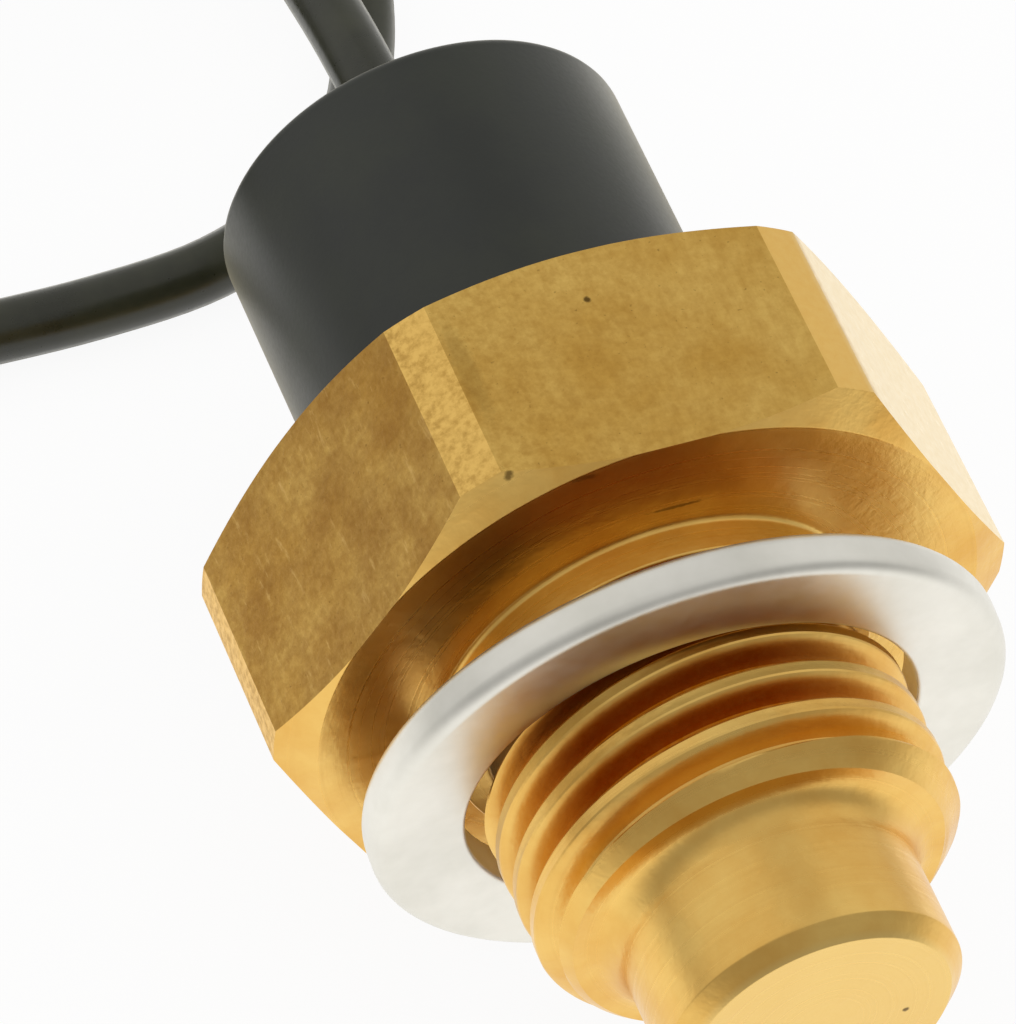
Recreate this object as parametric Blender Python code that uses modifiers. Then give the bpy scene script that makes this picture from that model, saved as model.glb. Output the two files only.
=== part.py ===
"""Engine coolant temperature sensor: a turned brass body with a moulded cap and one lead.

It lies on one flat of its hexagon, as it would on a bench. All sizes are in metres, +Z is up, and the
tip points to -Y. The origin is on the bench, under the middle of the body's length.
"""

import math

import bmesh
import bpy
from mathutils import Matrix, Vector

# Hexagon, with its corners turned down to a cylinder
HEX_ACROSS_FLATS = 0.0220
HEX_TURNED_DIAMETER = 0.0246
HEX_HEIGHT = 0.0081
SEAT_CHAMFER = 0.00122
SEAT_CHAMFER_ANGLE = math.radians(27)
CAP_CHAMFER = 0.00130
CAP_CHAMFER_ANGLE = math.radians(28)

# Threaded shank, M14 x 1.5, below the seat face
THREAD_DIAMETER = 0.0140
THREAD_PITCH = 0.0015
THREAD_DEPTH = 0.0009
THREAD_ROOT_FLAT = 0.00019
THREAD_FLANK_ANGLE = math.radians(30)
THREAD_START_ANGLE = math.radians(318.5)
SHANK_LENGTH = 0.0098
SHANK_CHAMFER = 0.00085
COLLAR_LENGTH = 0.0012
RELIEF_DIAMETER = 0.0118
RELIEF_WIDTH = 0.0015
SEAT_FILLET = 0.0002

# Thermowell tip below the shank
TIP_DIAMETER = 0.0097
TIP_LENGTH = 0.0047
TIP_CHAMFER = 0.00060
TIP_FILLET = 0.0010
TIP_FLOOR = 0.0016

# Spigot and bores under the cap
SPIGOT_DIAMETER = 0.0110
SPIGOT_LENGTH = 0.0054
SPIGOT_CHAMFER = 0.0004
SNAP_GROOVE_DEPTH = 0.0006
SNAP_GROOVE_WIDTH = 0.0014
SNAP_GROOVE_HEIGHT = 0.0024
BORE_DIAMETER = 0.0064
COUNTERBORE_DIAMETER = 0.0084
COUNTERBORE_DEPTH = 0.0092

# Loose sealing washer
WASHER_DIAMETER = 0.0210
WASHER_HOLE_DIAMETER = 0.0149
WASHER_THICKNESS = 0.00145
WASHER_EDGE_RADIUS = 0.0004
WASHER_DISTANCE = 0.0031
WASHER_LEAN = math.radians(5.8)
WASHER_TURN = math.radians(-1.4)

# Moulded cap
CAP_WALL = 0.0012
CAP_LENGTH = 0.0125
CAP_ROOF = 0.0016
CAP_RIM_RADIUS = 0.0004
CAP_MOUTH_CHAMFER = 0.0003
SNAP_BEAD_HEIGHT = 0.0005

# Sensing parts inside the bore
DISC_DIAMETER = 0.0044
DISC_THICKNESS = 0.0012
PLATE_THICKNESS = 0.0005
PLATE_PIP_DIAMETER = 0.0014
PLATE_PIP_HEIGHT = 0.0006
SPRING_WIRE = 0.0005
SPRING_LENGTH = 0.0070
SPRING_TURNS = 5.5
SLEEVE_WALL = 0.0005
PIN_HEAD_THICKNESS = 0.0008
PIN_DIAMETER = 0.0015
PIN_TAIL = 0.0030
BUSH_LENGTH = 0.0070
SEAL_THICKNESS = 0.0010
FERRULE_WALL = 0.00035
FERRULE_LENGTH = 0.0036
CORE_DIAMETER = 0.0012
CORE_IN_FERRULE = 0.0016

# Lead and its far end
LEAD_DIAMETER = 0.0022
LEAD_INSIDE_CAP = 0.0006
COIL_RADIUS = 0.0110
COIL_CENTRE = (-0.0210, 0.0455)
COIL_TURNS_WIDE = 2
COIL_TURNS_HIGH = 2
TIE_THICKNESS = 0.0005
TIE_WIDTH = 0.0024
TIE_ANGLE = math.radians(145)
TERMINAL_BARREL_DIAMETER = 0.0034
TERMINAL_BARREL_LENGTH = 0.0062
TERMINAL_PIN_DIAMETER = 0.0040
TERMINAL_PIN_LENGTH = 0.0090
TERMINAL_NECK_DIAMETER = 0.0024
BOOT_WALL = 0.0005
BOOT_LENGTH = 0.0100

# Clearance between neighbours, and how finely round shapes are divided
GAP = 0.0003
BODY_STEPS = 44
SMALL_STEPS = 24
ARC_STEPS = 3
LEAD_POINT_SPACING = 2.4 * LEAD_DIAMETER

# Heights along the sensor's own axis, from the seat face: + towards the tip, - towards the lead
TIP_END = SHANK_LENGTH + TIP_LENGTH
BORE_FLOOR = TIP_END - TIP_FLOOR
SPIGOT_END = -HEX_HEIGHT - SPIGOT_LENGTH
CAP_MOUTH = -HEX_HEIGHT - GAP
CAP_END = CAP_MOUTH - CAP_LENGTH
CAP_CEILING = CAP_END + CAP_ROOF
COUNTERBORE_FLOOR = SPIGOT_END + COUNTERBORE_DEPTH
SNAP_HEIGHT = -HEX_HEIGHT - SNAP_GROOVE_HEIGHT
DISC_BACK = BORE_FLOOR - GAP - DISC_THICKNESS
PLATE_BACK = DISC_BACK - GAP - PLATE_THICKNESS
SPRING_FRONT = PLATE_BACK - GAP
SPRING_BACK = SPRING_FRONT - SPRING_LENGTH
PIN_HEAD_FRONT = SPRING_BACK - GAP
PIN_HEAD_BACK = PIN_HEAD_FRONT - PIN_HEAD_THICKNESS
BUSH_FRONT = COUNTERBORE_FLOOR - GAP
BUSH_BACK = BUSH_FRONT - BUSH_LENGTH
SEAL_BACK = BUSH_BACK - GAP - SEAL_THICKNESS
PIN_BACK = SEAL_BACK - PIN_TAIL
LEAD_START = CAP_CEILING + LEAD_INSIDE_CAP
CORE_BACK = LEAD_START + GAP
CORE_FRONT = PIN_BACK - GAP
FERRULE_BACK = CORE_FRONT - CORE_IN_FERRULE
FERRULE_FRONT = FERRULE_BACK + FERRULE_LENGTH

# Where the axis lies in the part's own frame
AXIS_HEIGHT = HEX_ACROSS_FLATS / 2
SEAT_Y = (TIP_END + CAP_END) / 2

# Radii of the pieces that nest in the bore, each clear of its neighbour
SLEEVE_OUTER = BORE_DIAMETER / 2 - GAP
SLEEVE_INNER = SLEEVE_OUTER - SLEEVE_WALL
SPRING_RADIUS = SLEEVE_INNER - GAP - SPRING_WIRE / 2
PIN_HOLE = PIN_DIAMETER / 2 + GAP
CAP_BORE = SPIGOT_DIAMETER / 2 + GAP
CAP_RADIUS = CAP_BORE + CAP_WALL
LEAD_HOLE = LEAD_DIAMETER / 2 + GAP
COIL_BASE = TIE_THICKNESS + GAP

# The lead's route after the cap, as points on its centre line, chosen by eye
LEAD_ROUTE = [
    (-0.0001, 0.0238, 0.01085),
    (-0.0002, 0.0280, 0.01025),
    (-0.0003, 0.0325, 0.00920),
    (-0.0006, 0.0370, 0.00750),
    (-0.0013, 0.0415, 0.00520),
    (-0.0027, 0.0459, 0.00300),
    (-0.0049, 0.0500, 0.00165),
    (-0.0077, 0.0535, 0.00118),
    (-0.0113, 0.0560, 0.00125),
]

# The lead's route from the coil, behind the cap and on to the terminal
TAIL_ROUTE = [
    (-0.0357, 0.0430, 0.00260),
    (-0.0354, 0.0392, 0.00180),
    (-0.0343, 0.0350, 0.00125),
    (-0.0320, 0.0306, 0.00110),
    (-0.0285, 0.0271, 0.00110),
    (-0.0241, 0.0247, 0.00110),
    (-0.0190, 0.0238, 0.00110),
    (-0.0140, 0.0237, 0.00110),
    (-0.0090, 0.0237, 0.00110),
    (-0.0046, 0.0242, 0.00110),
    (-0.0010, 0.0258, 0.00110),
    (0.0018, 0.0285, 0.00110),
    (0.0035, 0.0316, 0.00120),
    (0.0044, 0.0344, 0.00175),
    (0.0048, 0.0372, 0.00260),
    (0.0048, 0.0398, 0.00280),
    (0.0048, 0.0426, 0.00280),
    (0.0048, 0.0454, 0.00280),
]


def clear_scene():
    """Remove whatever the file opens with."""
    for item in list(bpy.data.objects):
        bpy.data.objects.remove(item, do_unlink=True)


def new_collection(name):
    """A collection linked to the scene."""
    group = bpy.data.collections.new(name)
    bpy.context.scene.collection.children.link(group)
    return group


def finish_material(name, colour, roughness, metallic):
    """A plain surface with one colour."""
    surface = bpy.data.materials.new(name)
    surface.use_nodes = True
    shader = surface.node_tree.nodes["Principled BSDF"]
    shader.inputs["Base Color"].default_value = (*colour, 1.0)
    shader.inputs["Roughness"].default_value = roughness
    shader.inputs["Metallic"].default_value = metallic
    return surface


def place(item, group, surface=None, parent=None):
    """Link an object, dress it and hang it on its parent."""
    group.objects.link(item)
    if surface is not None:
        item.data.materials.append(surface)
    if parent is not None:
        item.parent = parent
    return item


def evaluated_mesh(item):
    """The mesh that an object's modifiers make."""
    bpy.context.view_layer.update()
    graph = bpy.context.evaluated_depsgraph_get()
    return bpy.data.meshes.new_from_object(item.evaluated_get(graph))


def arc(centre, radius, start, end, steps=ARC_STEPS):
    """Points of a turned profile along an arc, angles in degrees from +radius towards +height."""
    points = []
    for index in range(steps + 1):
        angle = math.radians(start + (end - start) * index / steps)
        points.append((centre[0] + radius * math.cos(angle), centre[1] + radius * math.sin(angle)))
    return points


def turned_mesh(name, profile, steps, closed):
    """Turn a profile of (radius, height) points, listed down the outer side, about +Z."""
    outline = bpy.data.meshes.new(name)
    corners = [(radius, 0.0, height) for radius, height in profile]
    lines = [(index, index + 1) for index in range(len(corners) - 1)]
    if closed:
        lines.append((len(corners) - 1, 0))
    outline.from_pydata(corners, lines, [])
    blank = bpy.data.objects.new(name, outline)
    bpy.context.scene.collection.objects.link(blank)
    screw = blank.modifiers.new("turning", "SCREW")
    screw.axis = "Z"
    screw.angle = math.tau
    screw.steps = steps
    screw.render_steps = steps
    screw.use_merge_vertices = True
    screw.merge_threshold = 0.000001
    shape = evaluated_mesh(blank)
    bpy.data.objects.remove(blank, do_unlink=True)
    bpy.data.meshes.remove(outline)
    shape.name = name
    shape.shade_smooth()
    shape.set_sharp_from_angle(angle=math.radians(40))
    return shape


def turned(name, profile, group, surface, parent, steps=SMALL_STEPS, closed=False):
    """A turned piece as an object of its own."""
    item = bpy.data.objects.new(name, turned_mesh(name, profile, steps, closed))
    return place(item, group, surface, parent)


def ring_profile(inner, outer, front, back):
    """The closed profile of a plain sleeve between two heights."""
    return [(outer, front), (outer, back), (inner, back), (inner, front)]


def rod_profile(radius, front, back):
    """The profile of a plain rod between two heights."""
    return [(0.0, front), (radius, front), (radius, back), (0.0, back)]


def cutter(name, shape, group, parent):
    """A tool shape that is not part of the object."""
    item = bpy.data.objects.new(name, shape)
    item.hide_render = True
    item.display_type = "WIRE"
    return place(item, group, None, parent)


def cut(item, tool, operation):
    """Combine an object with a tool shape."""
    step = item.modifiers.new(tool.name, "BOOLEAN")
    step.operation = operation
    step.solver = "EXACT"
    step.object = tool


def hexagon_mesh():
    """A long hexagonal bar with one flat underneath, along +Z."""
    shape = bpy.data.meshes.new("hexagon_bar")
    builder = bmesh.new()
    corner_radius = HEX_ACROSS_FLATS / 2 / math.cos(math.pi / 6)
    bar_length = 2 * (TIP_END - CAP_END)
    bmesh.ops.create_cone(
        builder,
        cap_ends=True,
        segments=6,
        radius1=corner_radius,
        radius2=corner_radius,
        depth=bar_length,
    )
    # the primitive may start at a corner on X or on Y: a flat has to face Y
    first = builder.verts[:][0].co
    turn = math.atan2(first.y, first.x) % (math.pi / 3)
    bmesh.ops.rotate(builder, verts=builder.verts, matrix=Matrix.Rotation(-turn, 3, "Z"))
    builder.to_mesh(shape)
    builder.free()
    return shape


def thread_groove_mesh():
    """The groove between the thread's ridges: a trapezium swept along a right-hand helix."""
    root = THREAD_DIAMETER / 2 - THREAD_DEPTH
    outside = THREAD_DIAMETER / 2 + 0.15 * THREAD_DEPTH
    root_half = THREAD_ROOT_FLAT / 2
    outside_half = root_half + (outside - root) * math.tan(THREAD_FLANK_ANGLE)
    # it starts in the relief, clear of the collar, and runs out past the shoulder
    start = COLLAR_LENGTH + outside_half + GAP
    finish = SHANK_LENGTH + outside_half + GAP
    per_step = THREAD_PITCH / BODY_STEPS
    steps = math.ceil((finish - start) / per_step)
    shape = bpy.data.meshes.new("thread_groove")
    builder = bmesh.new()
    outline = [(root, root_half), (root, -root_half), (outside, -outside_half), (outside, outside_half)]
    corners = [builder.verts.new((radius, 0.0, start + height)) for radius, height in outline]
    section = builder.faces.new(corners)
    bmesh.ops.spin(
        builder,
        geom=[section, *section.edges, *section.verts],
        cent=(0, 0, 0),
        axis=(0, 0, 1),
        dvec=(0, 0, per_step),
        angle=math.tau * steps / BODY_STEPS,
        steps=steps,
        use_duplicate=False,
    )
    bmesh.ops.rotate(builder, verts=builder.verts, matrix=Matrix.Rotation(THREAD_START_ANGLE, 3, "Z"))
    bmesh.ops.recalc_face_normals(builder, faces=builder.faces)
    builder.to_mesh(shape)
    builder.free()
    return shape


def body_profile():
    """The brass blank from the tip's centre, along its outside, and back down its bore."""
    hex_radius = HEX_TURNED_DIAMETER / 2
    seat_radius = hex_radius - SEAT_CHAMFER
    back_radius = hex_radius - CAP_CHAMFER
    shank_radius = THREAD_DIAMETER / 2
    relief_radius = RELIEF_DIAMETER / 2
    tip_radius = TIP_DIAMETER / 2
    spigot_radius = SPIGOT_DIAMETER / 2
    relief_end = COLLAR_LENGTH + RELIEF_WIDTH
    seat_drop = SEAT_CHAMFER * math.tan(SEAT_CHAMFER_ANGLE)
    back_drop = CAP_CHAMFER * math.tan(CAP_CHAMFER_ANGLE)
    groove_radius = spigot_radius - SNAP_GROOVE_DEPTH
    groove_top = SNAP_HEIGHT + SNAP_GROOVE_WIDTH / 2
    groove_bottom = SNAP_HEIGHT - SNAP_GROOVE_WIDTH / 2
    tip = [(0.0, TIP_END), (tip_radius - TIP_CHAMFER, TIP_END), (tip_radius, TIP_END - TIP_CHAMFER)]
    fillet_centre = (tip_radius + TIP_FILLET, SHANK_LENGTH + TIP_FILLET)
    shank = [
        (shank_radius - SHANK_CHAMFER, SHANK_LENGTH),
        (shank_radius, SHANK_LENGTH - SHANK_CHAMFER),
        (shank_radius, relief_end + shank_radius - relief_radius),
        (relief_radius, relief_end),
        (relief_radius, COLLAR_LENGTH),
        (shank_radius, COLLAR_LENGTH),
    ]
    seat_centre = (shank_radius + SEAT_FILLET, SEAT_FILLET)
    hexagon = [
        (seat_radius, 0.0),
        (hex_radius, -seat_drop),
        (hex_radius, -HEX_HEIGHT + back_drop),
        (back_radius, -HEX_HEIGHT),
    ]
    spigot = [
        (spigot_radius, -HEX_HEIGHT),
        (spigot_radius, groove_top),
        (groove_radius, groove_top),
        (groove_radius, groove_bottom),
        (spigot_radius, groove_bottom),
        (spigot_radius, SPIGOT_END + SPIGOT_CHAMFER),
        (spigot_radius - SPIGOT_CHAMFER, SPIGOT_END),
    ]
    bore = [
        (COUNTERBORE_DIAMETER / 2, SPIGOT_END),
        (COUNTERBORE_DIAMETER / 2, COUNTERBORE_FLOOR),
        (BORE_DIAMETER / 2, COUNTERBORE_FLOOR),
        (BORE_DIAMETER / 2, BORE_FLOOR),
        (0.0, BORE_FLOOR),
    ]
    tip += arc(fillet_centre, TIP_FILLET, 180, 270)
    seat = arc(seat_centre, SEAT_FILLET, 180, 270, 2)
    return tip + shank + seat + hexagon + spigot + bore


def make_body(group, tools, surface, axis):
    """Turned blank, milled to a hexagon, then threaded."""
    body = turned("brass_body", body_profile(), group, surface, axis, BODY_STEPS)
    cut(body, cutter("hexagon_bar", hexagon_mesh(), tools, axis), "INTERSECT")
    cut(body, cutter("thread_groove", thread_groove_mesh(), tools, axis), "DIFFERENCE")


def make_washer(group, surface, axis):
    """The loose washer hangs on the thread, so it sits low and leans a little."""
    outer = WASHER_DIAMETER / 2
    inner = WASHER_HOLE_DIAMETER / 2
    half = WASHER_THICKNESS / 2
    edge = WASHER_EDGE_RADIUS
    profile = arc((outer - edge, half - edge), edge, 90, 0, 2)
    profile += arc((outer - edge, edge - half), edge, 0, -90, 2)
    profile += [(inner + edge / 2, -half), (inner, -half + edge / 2)]
    profile += [(inner, half - edge / 2), (inner + edge / 2, half)]
    washer = turned("sealing_washer", profile, group, surface, axis, BODY_STEPS, closed=True)
    sink = inner - THREAD_DIAMETER / 2 - GAP
    washer.location = (0.0, -sink, WASHER_DISTANCE)
    washer.rotation_euler = (WASHER_LEAN, WASHER_TURN, 0.0)


def make_cap(group, surface, axis):
    """A hollow moulding that snaps over the spigot, with the lead's hole in its roof."""
    outer = CAP_RADIUS
    bead_half = SNAP_GROOVE_WIDTH / 2 - GAP
    rim_centre = (outer - CAP_RIM_RADIUS, CAP_END + CAP_RIM_RADIUS)
    profile = [(CAP_BORE + CAP_MOUTH_CHAMFER, CAP_MOUTH), (outer, CAP_MOUTH)]
    profile += arc(rim_centre, CAP_RIM_RADIUS, 0, -90)
    profile += [
        (LEAD_HOLE, CAP_END),
        (LEAD_HOLE, CAP_CEILING),
        (CAP_BORE, CAP_CEILING),
        (CAP_BORE, SNAP_HEIGHT - bead_half),
        (CAP_BORE - SNAP_BEAD_HEIGHT, SNAP_HEIGHT),
        (CAP_BORE, SNAP_HEIGHT + bead_half),
        (CAP_BORE, CAP_MOUTH - CAP_MOUTH_CHAMFER),
    ]
    turned("end_cap", profile, group, surface, axis, BODY_STEPS, closed=True)


def make_sensing_parts(group, finishes, axis):
    """Thermistor disc, contact plate and spring, in their insulating sleeve."""
    disc = rod_profile(DISC_DIAMETER / 2, BORE_FLOOR - GAP, DISC_BACK)
    turned("thermistor_disc", disc, group, finishes["ceramic"], axis)
    plate_radius = SPRING_RADIUS + SPRING_WIRE / 2
    pip_radius = PLATE_PIP_DIAMETER / 2
    plate = [
        (0.0, DISC_BACK - GAP),
        (plate_radius, DISC_BACK - GAP),
        (plate_radius, PLATE_BACK),
        (pip_radius, PLATE_BACK),
        (pip_radius, PLATE_BACK - PLATE_PIP_HEIGHT),
        (0.0, PLATE_BACK - PLATE_PIP_HEIGHT),
    ]
    turned("contact_plate", plate, group, finishes["contact_brass"], axis)
    make_spring(group, finishes["spring_steel"], axis)
    sleeve = ring_profile(SLEEVE_INNER, SLEEVE_OUTER, DISC_BACK, COUNTERBORE_FLOOR + GAP)
    turned("insulating_sleeve", sleeve, group, finishes["sleeve_plastic"], axis, closed=True)


def make_spring(group, surface, axis):
    """A round-wire coil spring along the axis."""
    per_turn = 12
    count = round(SPRING_TURNS * per_turn)
    half_wire = SPRING_WIRE / 2
    travel = SPRING_LENGTH - SPRING_WIRE
    wire = bpy.data.curves.new("contact_spring", "CURVE")
    wire.dimensions = "3D"
    wire.bevel_depth = half_wire
    wire.bevel_resolution = 1
    wire.render_resolution_u = 0
    wire.use_fill_caps = True
    line = wire.splines.new("POLY")
    line.points.add(count)
    for index in range(count + 1):
        angle = math.tau * index / per_turn
        height = SPRING_FRONT - half_wire - travel * index / count
        across = (SPRING_RADIUS * math.cos(angle), SPRING_RADIUS * math.sin(angle))
        line.points[index].co = (*across, height, 1.0)
    place(bpy.data.objects.new("contact_spring", wire), group, surface, axis)


def make_terminal_stack(group, finishes, axis):
    """Centre pin, its bush and seal, and the crimped joint to the lead."""
    head_radius = SPRING_RADIUS + SPRING_WIRE / 2
    pin_radius = PIN_DIAMETER / 2
    pin = [
        (0.0, PIN_HEAD_FRONT),
        (head_radius, PIN_HEAD_FRONT),
        (head_radius, PIN_HEAD_BACK),
        (pin_radius, PIN_HEAD_BACK),
        (pin_radius, PIN_BACK),
        (0.0, PIN_BACK),
    ]
    turned("centre_pin", pin, group, finishes["contact_brass"], axis)
    bush_radius = COUNTERBORE_DIAMETER / 2 - GAP
    bush = ring_profile(PIN_HOLE, bush_radius, BUSH_FRONT, BUSH_BACK)
    turned("insulating_bush", bush, group, finishes["bush_plastic"], axis, closed=True)
    seal = ring_profile(PIN_HOLE, bush_radius, BUSH_BACK - GAP, SEAL_BACK)
    turned("bush_seal", seal, group, finishes["seal_rubber"], axis, closed=True)
    ferrule = ring_profile(PIN_HOLE, PIN_HOLE + FERRULE_WALL, FERRULE_FRONT, FERRULE_BACK)
    turned("crimp_ferrule", ferrule, group, finishes["tinned_copper"], axis, closed=True)
    core = rod_profile(CORE_DIAMETER / 2, CORE_FRONT, CORE_BACK)
    turned("lead_core", core, group, finishes["copper"], axis)
    fill_inner = PIN_HOLE + FERRULE_WALL + GAP
    fill = ring_profile(fill_inner, CAP_BORE - GAP, SPIGOT_END - GAP, CAP_CEILING + GAP)
    turned("potting_resin", fill, group, finishes["resin"], axis, closed=True)


def smooth_points(route, spacing):
    """Even points on a smooth curve that passes through the route's own points."""
    knots = [Vector(point) for point in route]
    padded = [2 * knots[0] - knots[1], *knots, 2 * knots[-1] - knots[-2]]
    fine = []
    for index in range(1, len(padded) - 2):
        before, here, after, later = padded[index - 1 : index + 3]
        for part in range(20):
            share = part / 20
            bend = 2 * before - 5 * here + 4 * after - later
            swing = 3 * here - before - 3 * after + later
            fine.append(here + 0.5 * share * (after - before + share * (bend + share * swing)))
    fine.append(knots[-1])
    run = [0.0]
    for first, second in zip(fine, fine[1:]):
        run.append(run[-1] + (second - first).length)
    count = max(2, round(run[-1] / spacing))
    points = []
    place_in_run = 0
    for index in range(count + 1):
        target = run[-1] * index / count
        while place_in_run < len(run) - 2 and run[place_in_run + 1] < target:
            place_in_run += 1
        stretch = run[place_in_run + 1] - run[place_in_run]
        share = (target - run[place_in_run]) / stretch
        points.append(fine[place_in_run].lerp(fine[place_in_run + 1], share))
    return points


def make_lead(name, route, group, surface):
    """A round lead along a route."""
    points = smooth_points(route, LEAD_POINT_SPACING)
    jacket = bpy.data.curves.new(name, "CURVE")
    jacket.dimensions = "3D"
    jacket.bevel_depth = LEAD_DIAMETER / 2
    jacket.bevel_resolution = 2
    jacket.render_resolution_u = 0
    jacket.use_fill_caps = True
    line = jacket.splines.new("POLY")
    line.points.add(len(points) - 1)
    for target, point in zip(line.points, points):
        target.co = (*point, 1.0)
    place(bpy.data.objects.new(name, jacket), group, surface)


def make_coil(group, surface):
    """The stored length of the lead, as one ring of its outer shape."""
    half_width = COIL_TURNS_WIDE * LEAD_DIAMETER / 2
    height = COIL_TURNS_HIGH * LEAD_DIAMETER
    corner = LEAD_DIAMETER / 2
    outer = COIL_RADIUS + half_width - corner
    inner = COIL_RADIUS - half_width + corner
    profile = arc((outer, height - corner), corner, 90, 0, 2)
    profile += arc((outer, corner), corner, 0, -90, 2)
    profile += arc((inner, corner), corner, -90, -180, 2)
    profile += arc((inner, height - corner), corner, 180, 90, 2)
    coil = turned("lead_coil", profile, group, surface, None, SMALL_STEPS, closed=True)
    coil.location = (*COIL_CENTRE, COIL_BASE)


def strap_outline(curve, half_width, half_height, corner):
    """One closed loop of the tie, as a rounded rectangle."""
    line = curve.splines.new("POLY")
    points = []
    for index, (side, level) in enumerate([(1, 1), (-1, 1), (-1, -1), (1, -1)]):
        centre = (side * (half_width - corner), level * (half_height - corner))
        points += arc(centre, corner, 90 * index, 90 * index + 90)
    line.points.add(len(points) - 1)
    for target, point in zip(line.points, points):
        target.co = (*point, 0.0, 1.0)
    line.use_cyclic_u = True


def make_tie(group, surface):
    """A strap round the coil's turns."""
    half_width = COIL_TURNS_WIDE * LEAD_DIAMETER / 2 + GAP
    half_height = COIL_TURNS_HIGH * LEAD_DIAMETER / 2 + GAP
    corner = LEAD_DIAMETER / 2
    strap = bpy.data.curves.new("coil_tie", "CURVE")
    strap.dimensions = "2D"
    strap.fill_mode = "BOTH"
    strap.extrude = TIE_WIDTH / 2
    outer = (half_width + TIE_THICKNESS, half_height + TIE_THICKNESS)
    strap_outline(strap, *outer, corner + TIE_THICKNESS)
    strap_outline(strap, half_width, half_height, corner)
    tie = place(bpy.data.objects.new("coil_tie", strap), group, surface)
    across = (COIL_RADIUS * math.cos(TIE_ANGLE), COIL_RADIUS * math.sin(TIE_ANGLE))
    middle = half_height + TIE_THICKNESS
    tie.location = (COIL_CENTRE[0] + across[0], COIL_CENTRE[1] + across[1], middle)
    tie.rotation_euler = (math.pi / 2, 0.0, TIE_ANGLE)


def terminal_frame():
    """Where the lead ends, and the way it points there."""
    end = Vector(TAIL_ROUTE[-1])
    heading = (end - Vector(TAIL_ROUTE[-2])).normalized()
    return end, heading


def make_terminal(group, finishes):
    """A bullet terminal on the lead's end, with its soft boot."""
    end, heading = terminal_frame()
    barrel_inner = LEAD_DIAMETER / 2 + GAP
    barrel_outer = TERMINAL_BARREL_DIAMETER / 2
    boot_inner = max(barrel_outer, TERMINAL_PIN_DIAMETER / 2) + GAP
    pin_radius = TERMINAL_PIN_DIAMETER / 2
    neck_radius = TERMINAL_NECK_DIAMETER / 2
    # heights run from the lead's end face, + towards the bullet's nose
    barrel_back = -TERMINAL_BARREL_LENGTH / 2
    barrel_front = TERMINAL_BARREL_LENGTH / 2
    shoulder = barrel_front + neck_radius
    nose = shoulder + TERMINAL_PIN_LENGTH
    groove = shoulder + TERMINAL_PIN_LENGTH * 0.45
    bullet = [
        *arc((0.0, nose - pin_radius), pin_radius, 90, 0, 4),
        (pin_radius, groove + neck_radius),
        (neck_radius, groove + neck_radius / 3),
        (neck_radius, groove - neck_radius / 3),
        (pin_radius, groove - neck_radius),
        (pin_radius, shoulder),
        (neck_radius, barrel_front),
        (barrel_outer, barrel_front - (barrel_outer - neck_radius)),
        (barrel_outer, barrel_back),
        (barrel_inner, barrel_back),
        (barrel_inner, GAP),
        (0.0, GAP),
    ]
    boot_back = barrel_back - BOOT_LENGTH / 3
    boot = [
        (boot_inner + BOOT_WALL, boot_back + BOOT_LENGTH),
        (boot_inner + BOOT_WALL, barrel_back),
        (barrel_inner + BOOT_WALL, boot_back),
        (barrel_inner, boot_back),
        (barrel_inner, barrel_back - BOOT_WALL - GAP),
        (boot_inner, barrel_back - GAP),
        (boot_inner, boot_back + BOOT_LENGTH),
    ]
    stand = bpy.data.objects.new("terminal_axis", None)
    group.objects.link(stand)
    stand.location = end
    stand.rotation_euler = heading.to_track_quat("Z", "Y").to_euler()
    turned("bullet_terminal", bullet, group, finishes["tinned_brass"], stand)
    turned("terminal_boot", boot, group, finishes["boot_plastic"], stand, closed=True)


def make_finishes():
    """Every surface of the object, by name."""
    plan = {
        "turned_brass": ((0.52, 0.33, 0.09), 0.34, 1.0),
        "washer_aluminium": ((0.62, 0.63, 0.60), 0.36, 1.0),
        "cap_plastic": ((0.040, 0.043, 0.037), 0.42, 0.0),
        "ceramic": ((0.16, 0.15, 0.14), 0.60, 0.0),
        "contact_brass": ((0.58, 0.40, 0.14), 0.30, 1.0),
        "spring_steel": ((0.42, 0.42, 0.43), 0.28, 1.0),
        "sleeve_plastic": ((0.70, 0.66, 0.55), 0.45, 0.0),
        "bush_plastic": ((0.10, 0.10, 0.10), 0.50, 0.0),
        "seal_rubber": ((0.02, 0.02, 0.02), 0.80, 0.0),
        "tinned_copper": ((0.60, 0.58, 0.54), 0.30, 1.0),
        "copper": ((0.75, 0.34, 0.18), 0.30, 1.0),
        "resin": ((0.03, 0.03, 0.03), 0.35, 0.0),
        "lead_plastic": ((0.028, 0.029, 0.024), 0.38, 0.0),
        "tie_plastic": ((0.03, 0.03, 0.03), 0.50, 0.0),
        "tinned_brass": ((0.66, 0.63, 0.56), 0.28, 1.0),
        "boot_plastic": ((0.045, 0.045, 0.045), 0.40, 0.0),
    }
    return {name: finish_material(name, *values) for name, values in plan.items()}


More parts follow.
